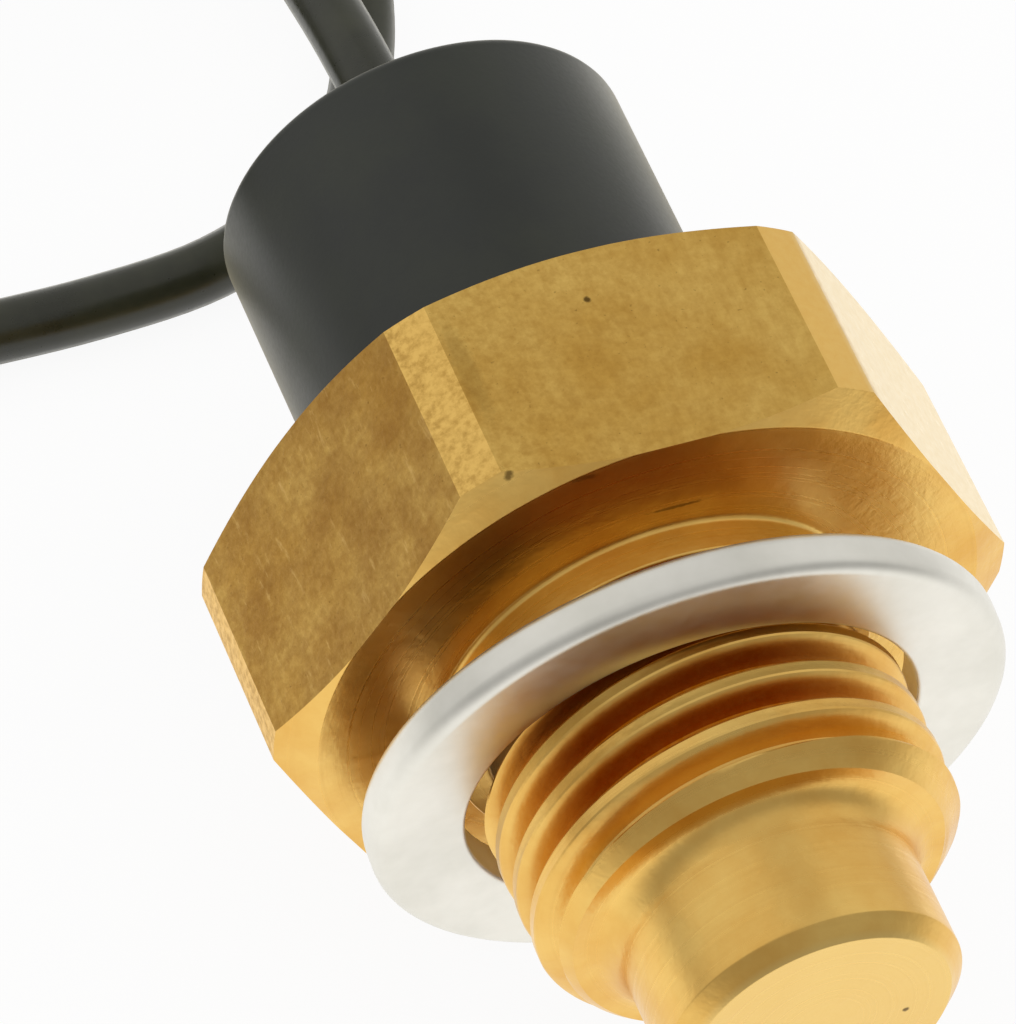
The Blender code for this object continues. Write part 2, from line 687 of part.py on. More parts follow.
def main():
    """Build the whole sensor."""
    clear_scene()
    parts = new_collection("coolant_temperature_sensor")
    tools = new_collection("cutters")
    finishes = make_finishes()
    axis = bpy.data.objects.new("sensor_axis", None)
    parts.objects.link(axis)
    axis.location = (0.0, SEAT_Y, AXIS_HEIGHT)
    axis.rotation_euler = (math.pi / 2, 0.0, 0.0)
    make_body(parts, tools, finishes["turned_brass"], axis)
    make_washer(parts, finishes["washer_aluminium"], axis)
    make_cap(parts, finishes["cap_plastic"], axis)
    make_sensing_parts(parts, finishes, axis)
    make_terminal_stack(parts, finishes, axis)
    lead_exit = [(0.0, SEAT_Y - height, AXIS_HEIGHT) for height in (LEAD_START, CAP_END)]
    make_lead("lead_tube", lead_exit + LEAD_ROUTE, parts, finishes["lead_plastic"])
    make_coil(parts, finishes["lead_plastic"])
    make_tie(parts, finishes["tie_plastic"])
    make_lead("lead_tail", TAIL_ROUTE, parts, finishes["lead_plastic"])
    make_terminal(parts, finishes)


main()
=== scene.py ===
# %% [markdown]
# # A coolant temperature sensor, dressed for its portrait
# The sensor is a turned brass body with a hexagon, a thread and a plain tip. A loose aluminium washer
# hangs on the thread, a dark moulded cap closes the back, and one lead comes out of the cap. It lies on
# one flat of its hexagon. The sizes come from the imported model; this script makes the fine shapes, the
# finishes, the light and the view.

import math

import bmesh
import bpy
from mathutils import Euler, Matrix, Vector


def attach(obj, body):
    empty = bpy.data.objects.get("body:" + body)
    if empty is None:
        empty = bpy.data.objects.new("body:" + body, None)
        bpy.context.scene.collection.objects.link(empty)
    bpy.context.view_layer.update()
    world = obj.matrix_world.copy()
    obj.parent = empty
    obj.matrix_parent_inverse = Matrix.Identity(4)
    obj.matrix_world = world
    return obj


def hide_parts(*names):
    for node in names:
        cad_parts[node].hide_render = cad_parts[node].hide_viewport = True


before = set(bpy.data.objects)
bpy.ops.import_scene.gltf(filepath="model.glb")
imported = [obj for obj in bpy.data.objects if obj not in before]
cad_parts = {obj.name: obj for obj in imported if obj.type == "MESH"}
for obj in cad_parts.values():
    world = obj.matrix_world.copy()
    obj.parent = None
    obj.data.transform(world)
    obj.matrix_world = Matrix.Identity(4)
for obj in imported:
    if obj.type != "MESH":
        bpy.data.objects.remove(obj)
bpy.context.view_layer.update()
MM = 0.001

# %% [markdown]
# ## The view
# The photograph was taken with a long lens, from above the tip and a little to its left. A long lens
# keeps the hexagon's sides nearly parallel. The camera could be aimed at a point, but here it stands at
# a place and looks along two angles, which were fitted to the hexagon's corners, and a third angle turns
# the picture a little.

# %% Camera
IMAGE_WIDTH = 1016
IMAGE_HEIGHT = 1024
CAMERA_PLACE = Vector((-69.04, -139.37, 207.77)) * MM
CAMERA_AZIMUTH = math.radians(25.04)
CAMERA_ELEVATION = math.radians(51.21)
CAMERA_ROLL = math.radians(5.80)
FOCAL_PIXELS = 8000
SENSOR_WIDTH = 36.0

lens = bpy.data.cameras.new("portrait_camera")
lens.sensor_fit = "HORIZONTAL"
lens.sensor_width = SENSOR_WIDTH
lens.lens = SENSOR_WIDTH * FOCAL_PIXELS / max(IMAGE_WIDTH, IMAGE_HEIGHT)
lens.clip_start = 0.01
lens.clip_end = 20.0
camera = bpy.data.objects.new("portrait_camera", lens)
bpy.context.scene.collection.objects.link(camera)
bpy.context.scene.camera = camera
turn_up = Matrix.Rotation(math.pi / 2 - CAMERA_ELEVATION, 4, "X")
turn_round = Matrix.Rotation(-CAMERA_AZIMUTH, 4, "Z")
roll = Matrix.Rotation(CAMERA_ROLL, 4, "Z")
camera.matrix_world = Matrix.Translation(CAMERA_PLACE) @ turn_round @ turn_up @ roll
print("lens in mm:", round(lens.lens, 1), "distance in mm:", round(CAMERA_PLACE.length / MM))

# %% [markdown]
# ## The sensor's own axis
# Everything on the body is round about one line. It is easiest to draw each piece upright, with its
# height counted from the hexagon's seat face towards the tip, and to lay it down at the end. One matrix
# does that: height becomes -Y, and the drawing's Y becomes up.

# %% Axis and small helpers
HEX_FLATS = 22.0
SEAT_Y = -3.2
AXIS = Matrix.Translation((0, SEAT_Y * MM, HEX_FLATS / 2 * MM)) @ Matrix.Rotation(math.pi / 2, 4, "X")
MILLIMETRES = Matrix.Scale(MM, 4)
STEPS = 192


def finish_object(name, mesh, place=AXIS):
    """A mesh drawn in millimetres becomes an object at the origin, with its place in its mesh."""
    mesh.transform(place @ MILLIMETRES)
    piece = bpy.data.objects.new(name, mesh)
    bpy.context.scene.collection.objects.link(piece)
    return piece


def softened(corners, steps=4):
    """A turned profile of (radius, height, rounding) corners, with each corner rounded by an arc."""
    points = []
    last = len(corners) - 1
    for index, (radius, height, rounding) in enumerate(corners):
        here = Vector((radius, height))
        if rounding == 0 or index in (0, last):
            points.append(here)
            continue
        back = (Vector(corners[index - 1][:2]) - here).normalized()
        ahead = (Vector(corners[index + 1][:2]) - here).normalized()
        half = back.angle(ahead) / 2
        reach = rounding / math.tan(half)
        centre = here + (back + ahead).normalized() * rounding / math.sin(half)
        first = here + back * reach - centre
        swing = first.angle_signed(here + ahead * reach - centre)
        for step in range(steps + 1):
            part = Matrix.Rotation(-swing * step / steps, 2) @ first
            points.append(centre + part)
    return [tuple(point) for point in points]


def turned_mesh(name, profile, steps=STEPS, closed=False):
    """Turn a profile of (radius, height) points, in millimetres, about the height axis."""
    corners, faces, rings = [], [], []
    for radius, height in profile:
        if radius < 1e-6:
            rings.append([len(corners)] * steps)
            corners.append((0.0, 0.0, height))
            continue
        rings.append(list(range(len(corners), len(corners) + steps)))
        for step in range(steps):
            angle = math.tau * step / steps
            corners.append((radius * math.cos(angle), radius * math.sin(angle), height))
    pairs = list(zip(rings, rings[1:]))
    if closed:
        pairs.append((rings[-1], rings[0]))
    for one, two in pairs:
        for step in range(steps):
            after = (step + 1) % steps
            loop = [one[step], one[after], two[after], two[step]]
            faces.append(list(dict.fromkeys(loop)))
    mesh = bpy.data.meshes.new(name)
    mesh.from_pydata(corners, [], [face for face in faces if len(face) > 2])
    outward(mesh)
    mesh.shade_smooth()
    return mesh


def outward(mesh):
    """Point every face outwards."""
    builder = bmesh.new()
    builder.from_mesh(mesh)
    bmesh.ops.recalc_face_normals(builder, faces=builder.faces)
    builder.to_mesh(mesh)
    builder.free()


def applied(piece):
    """The plain mesh that an object's modifiers make, with the modifiers removed."""
    bpy.context.view_layer.update()
    graph = bpy.context.evaluated_depsgraph_get()
    mesh = bpy.data.meshes.new_from_object(piece.evaluated_get(graph))
    piece.modifiers.clear()
    old = piece.data
    piece.data = mesh
    bpy.data.meshes.remove(old)
    return mesh


# %% [markdown]
# ## Nodes, one helper
# Materials and Geometry Nodes are both trees of nodes. One function adds a node, sets its settings and
# fills its sockets: a node or a socket is linked, anything else is set as a plain value. Colours are
# written as sRGB hex, the way a colour picker shows them, and turned to linear light by one function.

# %% Node and colour helpers
MATH = "ShaderNodeMath"
VECTOR = "ShaderNodeVectorMath"
NOISE = "ShaderNodeTexNoise"
RANGE = "ShaderNodeMapRange"
MIX = "ShaderNodeMix"


def add(tree, kind, inputs=None, **settings):
    """Add a node to a tree, with its settings and its sockets' links or values."""
    node = tree.nodes.new(kind)
    for name, value in settings.items():
        setattr(node, name, value)
    for key, value in (inputs or {}).items():
        if isinstance(value, bpy.types.Node):
            value = next(socket for socket in value.outputs if socket.enabled)
        if isinstance(value, bpy.types.NodeSocket):
            tree.links.new(value, node.inputs[key])
        else:
            node.inputs[key].default_value = value
    return node


def linear(hex_colour):
    """An sRGB hex colour as linear red, green, blue and alpha."""
    values = [int(hex_colour[i : i + 2], 16) / 255 for i in (0, 2, 4)]
    bent = [v / 12.92 if v <= 0.04045 else ((v + 0.055) / 1.055) ** 2.4 for v in values]
    return (*bent, 1.0)


def new_material(name):
    """A material with an empty node tree, and that tree."""
    material = bpy.data.materials.new(name)
    material.use_nodes = True
    material.node_tree.nodes.clear()
    return material, material.node_tree


# %% [markdown]
# ## The lead's route
# A cord of fixed length is laid out first, because it decides how much room the object takes. The lead
# leaves the cap straight, sags to the table and is wound into a small coil on the left. From the coil it
# passes behind the cap and ends in its bullet terminal. The route's points are given, and a smooth curve
# goes through them. The coil is two strands wide and two high, and each turn is one strand away from its
# neighbours, so its points follow from the strands' radii and heights. The lead comes in a little outside
# and below, and between two turns it changes its place over a few degrees.

# %% Route points, in millimetres
LEAD_DIAMETER = 2.2
LEAD_EXIT = (0.0, 17.7, 11.0)
LEAD_INSIDE = (0.0, 15.5, 11.0)
LEAD_ROUTE = [
    (-0.1, 23.8, 10.85), (-0.2, 28.0, 10.25), (-0.3, 32.5, 9.20), (-0.6, 37.0, 7.50), (-1.3, 41.5, 5.20),
    (-2.7, 45.9, 3.00), (-4.9, 50.0, 1.65), (-7.7, 53.5, 1.18), (-11.3, 56.0, 1.25), (-16.5, 57.6, 1.50),
]
COIL_CENTRE = Vector((-21.0, 45.5, 0.0))
COIL_RADII = (12.1, 9.9)
COIL_HEIGHTS = (1.9, 4.1)
COIL_ENTRY = 100
COIL_TRAVEL = 1130
COIL_STEPS = 75
COIL_APPROACH = (0.6, 0.2)
COIL_SETTLING = 25
COIL_CHANGES = (318, 638, 958)
COIL_CHANGE = 40
TAIL_ROUTE = [
    (-33.5, 48.1, 4.08), (-34.7, 46.0, 3.60), (-35.7, 43.0, 2.60), (-35.4, 39.2, 1.80), (-34.3, 35.0, 1.25),
    (-32.0, 30.6, 1.10), (-28.5, 27.1, 1.10), (-24.1, 24.7, 1.10), (-19.0, 23.8, 1.10), (-14.0, 23.7, 1.10),
    (-9.0, 23.7, 1.10), (-4.6, 24.2, 1.10), (-1.0, 25.8, 1.10), (1.8, 28.5, 1.10), (3.5, 31.6, 1.20),
    (4.4, 34.4, 1.75), (4.8, 37.2, 2.60), (4.8, 39.8, 2.80), (4.8, 42.6, 2.80), (4.8, 45.4, 2.80),
]


def eased(share):
    """A share from 0 to 1 with a slow start and a slow end."""
    share = min(max(share, 0.0), 1.0)
    return share * share * (3 - 2 * share)


def coil_point(travel):
    """The lead's centre after it has gone round the coil by an angle in degrees, anticlockwise."""
    outer, inner = COIL_RADII
    low, high = COIL_HEIGHTS
    entering = 1 - eased(travel / COIL_SETTLING)
    inwards, upwards, outwards = (eased((travel - start) / COIL_CHANGE) for start in COIL_CHANGES)
    radius = outer + COIL_APPROACH[0] * entering + (inner - outer) * (inwards - outwards)
    height = low - COIL_APPROACH[1] * entering + (high - low) * upwards
    angle = math.radians(COIL_ENTRY + travel)
    return COIL_CENTRE + Vector((radius * math.cos(angle), radius * math.sin(angle), height))


coil_points = [tuple(coil_point(COIL_TRAVEL * step / COIL_STEPS)) for step in range(COIL_STEPS + 1)]
route = [LEAD_INSIDE, LEAD_EXIT, *LEAD_ROUTE, *coil_points, *TAIL_ROUTE]
print("points on the route:", len(route))

# %% [markdown]
# A Bezier curve could join the points, but its real length is then hard to know. Here each span between
# two points is worked out as a cubic that takes its slopes from the neighbours. The first span lies
# inside the cap and isn't drawn.

# %% Smooth line
SPAN_STEPS = 6


def smooth_line(points):
    """Points on a smooth curve that passes through all the given ones."""
    knots = [Vector(point) for point in points]
    padded = [2 * knots[0] - knots[1], *knots, 2 * knots[-1] - knots[-2]]
    line = []
    for before, here, after, later in zip(padded, padded[1:], padded[2:], padded[3:]):
        for step in range(SPAN_STEPS):
            part = step / SPAN_STEPS
            bend = 2 * before - 5 * here + 4 * after - later
            swing = 3 * here - before - 3 * after + later
            line.append(here + 0.5 * part * (after - before + part * (bend + part * swing)))
    return [*line, knots[-1]]


outside_line = smooth_line(route)[SPAN_STEPS:]

# %% [markdown]
# ## The lead itself
# A round jacket could be a swept mesh. A curve with a bevel is simpler: the curve is the lead's centre
# line, and the bevel's depth is its radius. It keeps its real length and can be measured along its line.

# %% Lead
def lead_curve(name, points):
    """A round lead along a line of points in millimetres."""
    jacket = bpy.data.curves.new(name, "CURVE")
    jacket.dimensions = "3D"
    jacket.bevel_depth = LEAD_DIAMETER / 2 * MM
    jacket.bevel_resolution = 6
    jacket.use_fill_caps = True
    spline = jacket.splines.new("POLY")
    spline.points.add(len(points) - 1)
    for target, point in zip(spline.points, points):
        target.co = (*(point * MM), 1.0)
    spline.use_smooth = True
    piece = bpy.data.objects.new(name, jacket)
    bpy.context.scene.collection.objects.link(piece)
    return piece


lead = lead_curve("lead", outside_line)
print("points on the lead:", len(outside_line))

# %% [markdown]
# ## The brass head
# The hexagon is bar stock that was turned first and left with its six flats, so it is the overlap of a
# turned shape and a hexagonal bar. A Boolean finds that overlap exactly, curved chamfer lines included.
# A very small bevel breaks the sharp edges, as handling does, and catches the light.

# %% Head's turned profile
HEX_TURNED = 24.6
HEX_HEIGHT = 8.1
SEAT_CHAMFER = 22.16
SEAT_ANGLE = math.radians(27)
CAP_CHAMFER = 22.0
CAP_ANGLE = math.radians(28)
SPIGOT = 11.0
SPIGOT_LENGTH = 5.4
THREAD_CREST = 7.0
RELIEF = 5.9
RELIEF_START = 1.2
RELIEF_END = 2.7
SEAT_FILLET = 0.2
FILLET_STEPS = 6
SEAT_MIDDLE = 9.0

seat_drop = (HEX_TURNED - SEAT_CHAMFER) / 2 * math.tan(SEAT_ANGLE)
cap_drop = (HEX_TURNED - CAP_CHAMFER) / 2 * math.tan(CAP_ANGLE)
collar_corners = [
    (0.0, RELIEF_END, 0), (RELIEF, RELIEF_END, 0), (RELIEF, RELIEF_START, 0.15),
    (THREAD_CREST, RELIEF_START, 0.1), (THREAD_CREST, SEAT_FILLET, 0),
]
seat_fillet = []
for step in range(1, FILLET_STEPS + 1):
    angle = math.pi / 2 * step / FILLET_STEPS
    across = THREAD_CREST + SEAT_FILLET * (1 - math.cos(angle))
    seat_fillet.append((across, SEAT_FILLET * (1 - math.sin(angle))))
head_corners = [
    (SEAT_MIDDLE, 0.0, 0),
    (SEAT_CHAMFER / 2, 0.0, 0.15),
    (HEX_TURNED / 2, -seat_drop, 0),
    (HEX_TURNED / 2, -HEX_HEIGHT + cap_drop, 0),
    (CAP_CHAMFER / 2, -HEX_HEIGHT, 0.15),
    (SPIGOT / 2, -HEX_HEIGHT, 0),
    (SPIGOT / 2, -HEX_HEIGHT - SPIGOT_LENGTH, 0),
    (0.0, -HEX_HEIGHT - SPIGOT_LENGTH, 0),
]
head_profile = softened(collar_corners) + seat_fillet + softened(head_corners)
print("points on the head's profile:", len(head_profile))

# %% Hexagonal bar
BAR_REACH = 30.0


def hexagon_bar(name):
    """A long hexagonal bar with flats above and below."""
    builder = bmesh.new()
    radius = HEX_FLATS / 2 / math.cos(math.pi / 6)
    outline = [(radius * math.cos(k * math.pi / 3), radius * math.sin(k * math.pi / 3)) for k in range(6)]
    base = [builder.verts.new((x, y, -BAR_REACH)) for x, y in outline]
    face = builder.faces.new(base)
    grown = bmesh.ops.extrude_face_region(builder, geom=[face])
    moved = [item for item in grown["geom"] if isinstance(item, bmesh.types.BMVert)]
    bmesh.ops.translate(builder, verts=moved, vec=(0, 0, 2 * BAR_REACH))
    bmesh.ops.recalc_face_normals(builder, faces=builder.faces)
    mesh = bpy.data.meshes.new(name)
    builder.to_mesh(mesh)
    builder.free()
    return mesh


# %% Head: the overlap, with its edges broken
EDGE_BREAK = 0.10
SHARP = math.radians(16)
HEXAGON_ONLY = 10.5


def combine(piece, tool, operation):
    """Combine a piece with a tool shape by an exact Boolean, and remove the tool."""
    step = piece.modifiers.new(operation.lower(), "BOOLEAN")
    step.operation = operation
    step.solver = "EXACT"
    step.object = tool
    applied(piece)
    bpy.data.objects.remove(tool, do_unlink=True)


def break_edges(piece, width, sharper_than, beyond):
    """Round the sharp edges that lie beyond a radius, through their bevel weights."""
    builder = bmesh.new()
    builder.from_mesh(piece.data)
    weight = builder.edges.layers.float.new("bevel_weight_edge")
    for edge in builder.edges:
        middle = (edge.verts[0].co + edge.verts[1].co) / 2
        sharp = len(edge.link_faces) == 2 and edge.calc_face_angle() > sharper_than
        if sharp and math.hypot(middle.x, middle.y) > beyond:
            edge[weight] = 1.0
    builder.to_mesh(piece.data)
    builder.free()
    step = piece.modifiers.new("edge_break", "BEVEL")
    step.width = width
    step.segments = 3
    step.limit_method = "WEIGHT"
    applied(piece)


head = bpy.data.objects.new("brass_head", turned_mesh("brass_head", head_profile))
bar = bpy.data.objects.new("bar", hexagon_bar("bar"))
for item in (head, bar):
    bpy.context.scene.collection.objects.link(item)
combine(head, bar, "INTERSECT")
break_edges(head, EDGE_BREAK, SHARP, HEXAGON_ONLY)
print("head faces:", len(head.data.polygons))

# %% [markdown]
# ## The thread
# A thread follows a rule: its height grows by one pitch for each turn. Geometry Nodes wrap a flat grid
# round the shank so that the grid's rows climb with the helix. Each point's radius then depends only on
# where it lies between two ridges. Both ends are limited by cones, which gives the run-out at the relief
# and the chamfer at the shoulder.

# %% Thread tree: named inputs
THREAD_ROOT = 6.1
THREAD_PITCH = 1.5
# the middle of a groove passes through this place along the axis at this angle round it
THREAD_PLACE = 1.81
THREAD_ANGLE = math.radians(318.5)
THREAD_WEAR = 0.07
THREAD_SEED = 3.0
SHANK_END = 9.42
SHANK_CHAMFER = 0.85
THREAD_SIZES = ("Crest", "Root", "Pitch", "Start", "End", "Groove at", "Relief", "Chamfer", "Wear", "Seed")
SEAM_GAP = 0.0005

tree = bpy.data.node_groups.new("thread", "GeometryNodeTree")
face = tree.interface
face.new_socket("Geometry", in_out="OUTPUT", socket_type="NodeSocketGeometry")
for name in THREAD_SIZES:
    face.new_socket(name, in_out="INPUT", socket_type="NodeSocketFloat")
for name in ("Columns", "Rows per pitch"):
    face.new_socket(name, in_out="INPUT", socket_type="NodeSocketInt")
face.new_socket("Finish", in_out="INPUT", socket_type="NodeSocketMaterial")
given = add(tree, "NodeGroupInput").outputs

# %% [markdown]
# The grid has a whole number of rows in each pitch, so that both sides of the seam meet point for
# point. Its rows start a pitch early, climb a pitch round the shank, and are cut off at both ends.

# %% Thread tree: a flat grid that climbs
run = add(tree, MATH, {0: given["End"], 1: given["Start"]}, operation="SUBTRACT")
pitches = add(tree, MATH, {0: run, 1: given["Pitch"]}, operation="DIVIDE")
wanted = add(tree, MATH, {0: pitches, 1: given["Rows per pitch"], 2: given["Rows per pitch"]},
             operation="MULTIPLY_ADD")
steps = add(tree, MATH, {0: wanted}, operation="CEIL")
rise_per_step = add(tree, MATH, {0: given["Pitch"], 1: given["Rows per pitch"]}, operation="DIVIDE")
length = add(tree, MATH, {0: steps, 1: rise_per_step}, operation="MULTIPLY")
grid = add(tree, "GeometryNodeMeshGrid", {
    "Size X": 1.0, "Size Y": 1.0, "Vertices X": given["Columns"],
    "Vertices Y": add(tree, MATH, {0: steps, 1: 1.0}, operation="ADD"),
})
flat = add(tree, "ShaderNodeSeparateXYZ", {0: add(tree, "GeometryNodeInputPosition")})
around = add(tree, MATH, {0: flat.outputs["X"], 1: 0.5}, operation="ADD")
along = add(tree, MATH, {0: flat.outputs["Y"], 1: 0.5}, operation="ADD")

early = add(tree, MATH, {0: given["Start"], 1: given["Pitch"]}, operation="SUBTRACT")
row = add(tree, MATH, {0: along, 1: length, 2: early}, operation="MULTIPLY_ADD")
free = add(tree, MATH, {0: around, 1: given["Pitch"], 2: row}, operation="MULTIPLY_ADD")
started = add(tree, MATH, {0: free, 1: given["Start"]}, operation="MAXIMUM")
height = add(tree, MATH, {0: started, 1: given["End"]}, operation="MINIMUM")

# %% [markdown]
# One curve gives the radius between two ridges, from 0 in the middle of a groove to 1 on the middle of a
# ridge. Old threads are nicked and rubbed on their ridges, so a seeded noise takes a little off there.

# %% Thread tree: grooves, ridges and wear
past_groove = add(tree, MATH, {0: height, 1: given["Groove at"]}, operation="SUBTRACT")
turns = add(tree, MATH, {0: past_groove, 1: given["Pitch"]}, operation="DIVIDE")
phase = add(tree, MATH, {0: turns, 1: around}, operation="SUBTRACT")
half = add(tree, MATH, {0: phase, 1: 0.5}, operation="PINGPONG")
ridge = add(tree, MATH, {0: half, 1: 2.0}, operation="MULTIPLY")
flank = add(tree, RANGE, {
    "Value": ridge, "From Min": 0.06, "From Max": 0.80, "To Min": given["Root"], "To Max": given["Crest"],
}, interpolation_type="SMOOTHSTEP")

angle = add(tree, MATH, {0: around, 1: math.tau}, operation="MULTIPLY")
cosine = add(tree, MATH, {0: angle}, operation="COSINE")
sine = add(tree, MATH, {0: angle}, operation="SINE")
lifted = add(tree, MATH, {0: height, 1: 0.4}, operation="MULTIPLY")
spot = add(tree, "ShaderNodeCombineXYZ", {"X": cosine, "Y": sine, "Z": lifted})
noise = add(tree, NOISE, {
    "Vector": spot, "W": given["Seed"], "Scale": 2.2, "Detail": 3.0, "Roughness": 0.6,
}, noise_dimensions="4D")
rubbed = add(tree, MATH, {0: noise, 1: ridge}, operation="MULTIPLY")
loss = add(tree, MATH, {0: rubbed, 1: given["Wear"]}, operation="MULTIPLY")
worn = add(tree, MATH, {0: flank, 1: loss}, operation="SUBTRACT")

# %% [markdown]
# A cone at each end limits the radius: the run-out next to the relief and the chamfer at the shoulder.
# The grid's points are then moved to their places, and the seam is merged.

# %% Thread tree: ends and output
risen = add(tree, MATH, {0: height, 1: given["Start"]}, operation="SUBTRACT")
rise = add(tree, MATH, {0: given["Relief"], 1: risen}, operation="ADD")
left = add(tree, MATH, {0: given["End"], 1: height}, operation="SUBTRACT")
blunt = add(tree, MATH, {0: given["Crest"], 1: given["Chamfer"]}, operation="SUBTRACT")
fall = add(tree, MATH, {0: blunt, 1: left}, operation="ADD")
under_rise = add(tree, MATH, {0: worn, 1: rise}, operation="MINIMUM")
radius = add(tree, MATH, {0: under_rise, 1: fall}, operation="MINIMUM")

place = add(tree, "ShaderNodeCombineXYZ", {
    "X": add(tree, MATH, {0: radius, 1: cosine}, operation="MULTIPLY"),
    "Y": add(tree, MATH, {0: radius, 1: sine}, operation="MULTIPLY"),
    "Z": height,
})
wrapped = add(tree, "GeometryNodeSetPosition", {"Geometry": grid, "Position": place})
merged = add(tree, "GeometryNodeMergeByDistance", {"Geometry": wrapped, "Distance": SEAM_GAP})
plain = add(tree, "GeometryNodeRealizeInstances", {"Geometry": merged})
dressed = add(tree, "GeometryNodeSetMaterial", {"Geometry": plain, "Material": given["Finish"]})
add(tree, "NodeGroupOutput", {0: dressed})
print("nodes in the thread:", len(tree.nodes))

# %% [markdown]
# The node group runs on an empty mesh. Its inputs are set by their sockets' identifiers before it is
# evaluated for the first time, and what it makes is kept as a plain mesh.

# %% Thread mesh
ROWS_PER_PITCH = 24


def grown_mesh(name, tree, sizes):
    """Run a node group on an empty mesh, with its named inputs set, and return the plain mesh."""
    carrier = bpy.data.objects.new(name, bpy.data.meshes.new(name))
    bpy.context.scene.collection.objects.link(carrier)
    step = carrier.modifiers.new(name, "NODES")
    step.node_group = tree
    for item in tree.interface.items_tree:
        if item.in_out == "INPUT" and item.name in sizes:
            step[item.identifier] = sizes[item.name]
    mesh = applied(carrier)
    bpy.data.objects.remove(carrier, do_unlink=True)
    return mesh


thread_mesh = grown_mesh("thread", tree, {
    "Crest": THREAD_CREST, "Root": THREAD_ROOT, "Pitch": THREAD_PITCH,
    "Start": RELIEF_END, "End": SHANK_END,
    "Groove at": THREAD_PLACE - THREAD_PITCH * THREAD_ANGLE / math.tau,
    "Relief": RELIEF, "Chamfer": SHANK_CHAMFER, "Wear": THREAD_WEAR, "Seed": THREAD_SEED,
    "Columns": STEPS + 1, "Rows per pitch": ROWS_PER_PITCH,
})
print("thread faces:", len(thread_mesh.polygons))

# %% [markdown]
# ## Shank and tip
# Below the thread the shank is turned again: the shoulder, the tip and its chamfer. A Boolean could join
# the three shapes, but a thread has thousands of faces that touch at its ends. Here the head and the tip
# meet the thread's first and last rings point for point, and they merge into one closed solid.

# %% Tip's profile
TIP = 9.7
TIP_END = 14.5
TIP_CHAMFER = 0.60
TIP_FILLET = 1.0
SHOULDER_RING = THREAD_ROOT - 0.02

tip_corners = [
    (SHOULDER_RING, SHANK_END, 0),
    (TIP / 2, SHANK_END, TIP_FILLET),
    (TIP / 2, TIP_END - TIP_CHAMFER, 0.10),
    (TIP / 2 - TIP_CHAMFER, TIP_END, 0.08),
    (0.0, TIP_END, 0),
]
tip_profile = softened(tip_corners, 8)
print("points on the tip's profile:", len(tip_profile))

# %% Shapes that meet ring to ring
TOUCHING = 0.0008


def joined(name, meshes):
    """Several meshes as one, with what touches merged."""
    builder = bmesh.new()
    for mesh in meshes:
        builder.from_mesh(mesh)
    bmesh.ops.remove_doubles(builder, verts=builder.verts, dist=TOUCHING)
    bmesh.ops.recalc_face_normals(builder, faces=builder.faces)
    result = bpy.data.meshes.new(name)
    builder.to_mesh(result)
    open_edges = sum(len(edge.link_faces) != 2 for edge in builder.edges)
    builder.free()
    print(name, "open edges:", open_edges)
    return result


def ring_to_thread(mesh, height, radius):
    """Faces in the plane at a height, from the thread's last ring in to a smaller radius."""
    builder = bmesh.new()
    builder.from_mesh(mesh)
    rim = [edge for edge in builder.edges
           if edge.is_boundary and all(abs(vert.co.z - height) < 1e-4 for vert in edge.verts)]
    grown = bmesh.ops.extrude_edge_only(builder, edges=rim)
    for item in grown["geom"]:
        if isinstance(item, bmesh.types.BMVert):
            scale = radius / math.hypot(item.co.x, item.co.y)
            item.co.x *= scale
            item.co.y *= scale
    builder.to_mesh(mesh)
    builder.free()


def opened(mesh, height, radius):
    """Remove the faces of a plane inside a radius, so that the next shape can join there."""
    builder = bmesh.new()
    builder.from_mesh(mesh)
    inside = [
        face for face in builder.faces
        if all(abs(vert.co.z - height) < 1e-3 for vert in face.verts)
        and all(math.hypot(vert.co.x, vert.co.y) < radius + 1e-3 for vert in face.verts)
    ]
    bmesh.ops.delete(builder, geom=inside, context="FACES")
    builder.to_mesh(mesh)
    builder.free()
    return mesh


# %% [markdown]
# Smooth shading blends the light over an edge. That suits the thread and the tip. On the hexagon it would
# bend the flats and chamfers near the broken edges, so there only nearly level faces blend.

# %% Body
BLEND_TURN = math.radians(24)
HEXAGON_TURN = math.radians(4)
CHAMFERS_ONLY = 10.8


def keep_faces_true(mesh, turn, beyond):
    """Beyond a radius, shade across an edge only where its faces turn by less than an angle."""
    builder = bmesh.new()
    builder.from_mesh(mesh)
    for edge in builder.edges:
        middle = (edge.verts[0].co + edge.verts[1].co) / 2
        if math.hypot(middle.x, middle.y) > beyond and edge.calc_face_angle(0.0) > turn:
            edge.smooth = False
    builder.to_mesh(mesh)
    builder.free()


ring_to_thread(thread_mesh, SHANK_END, SHOULDER_RING)
open_head = opened(head.data, RELIEF_END, RELIEF)
body_mesh = joined("body", [open_head, thread_mesh, turned_mesh("tip", tip_profile)])
bpy.data.objects.remove(head, do_unlink=True)
body_mesh.shade_smooth()
body_mesh.set_sharp_from_angle(angle=BLEND_TURN)
keep_faces_true(body_mesh, HEXAGON_TURN, CHAMFERS_ONLY)
body = finish_object("body", body_mesh)
print("body faces:", len(body.data.polygons))

# %% [markdown]
# ## The sealing washer
# A punched and tumbled ring: flat faces, and edges that are rounded on the outside. It could be a
# cylinder with a hole, but a turned profile gives both rims their own rounding. The washer hangs on the
# top of the thread and leans, so it is turned upright and then moved by its own small matrix.

# %% Washer
WASHER_LEAN = math.radians(5.8)
WASHER_TURN = math.radians(-1.4)
WASHER_PLACE = 3.1
WASHER_PLAY = 0.3
WASHER = (21.0, 14.9, 1.45)
outer, inner, thick = WASHER[0] / 2, WASHER[1] / 2, WASHER[2]
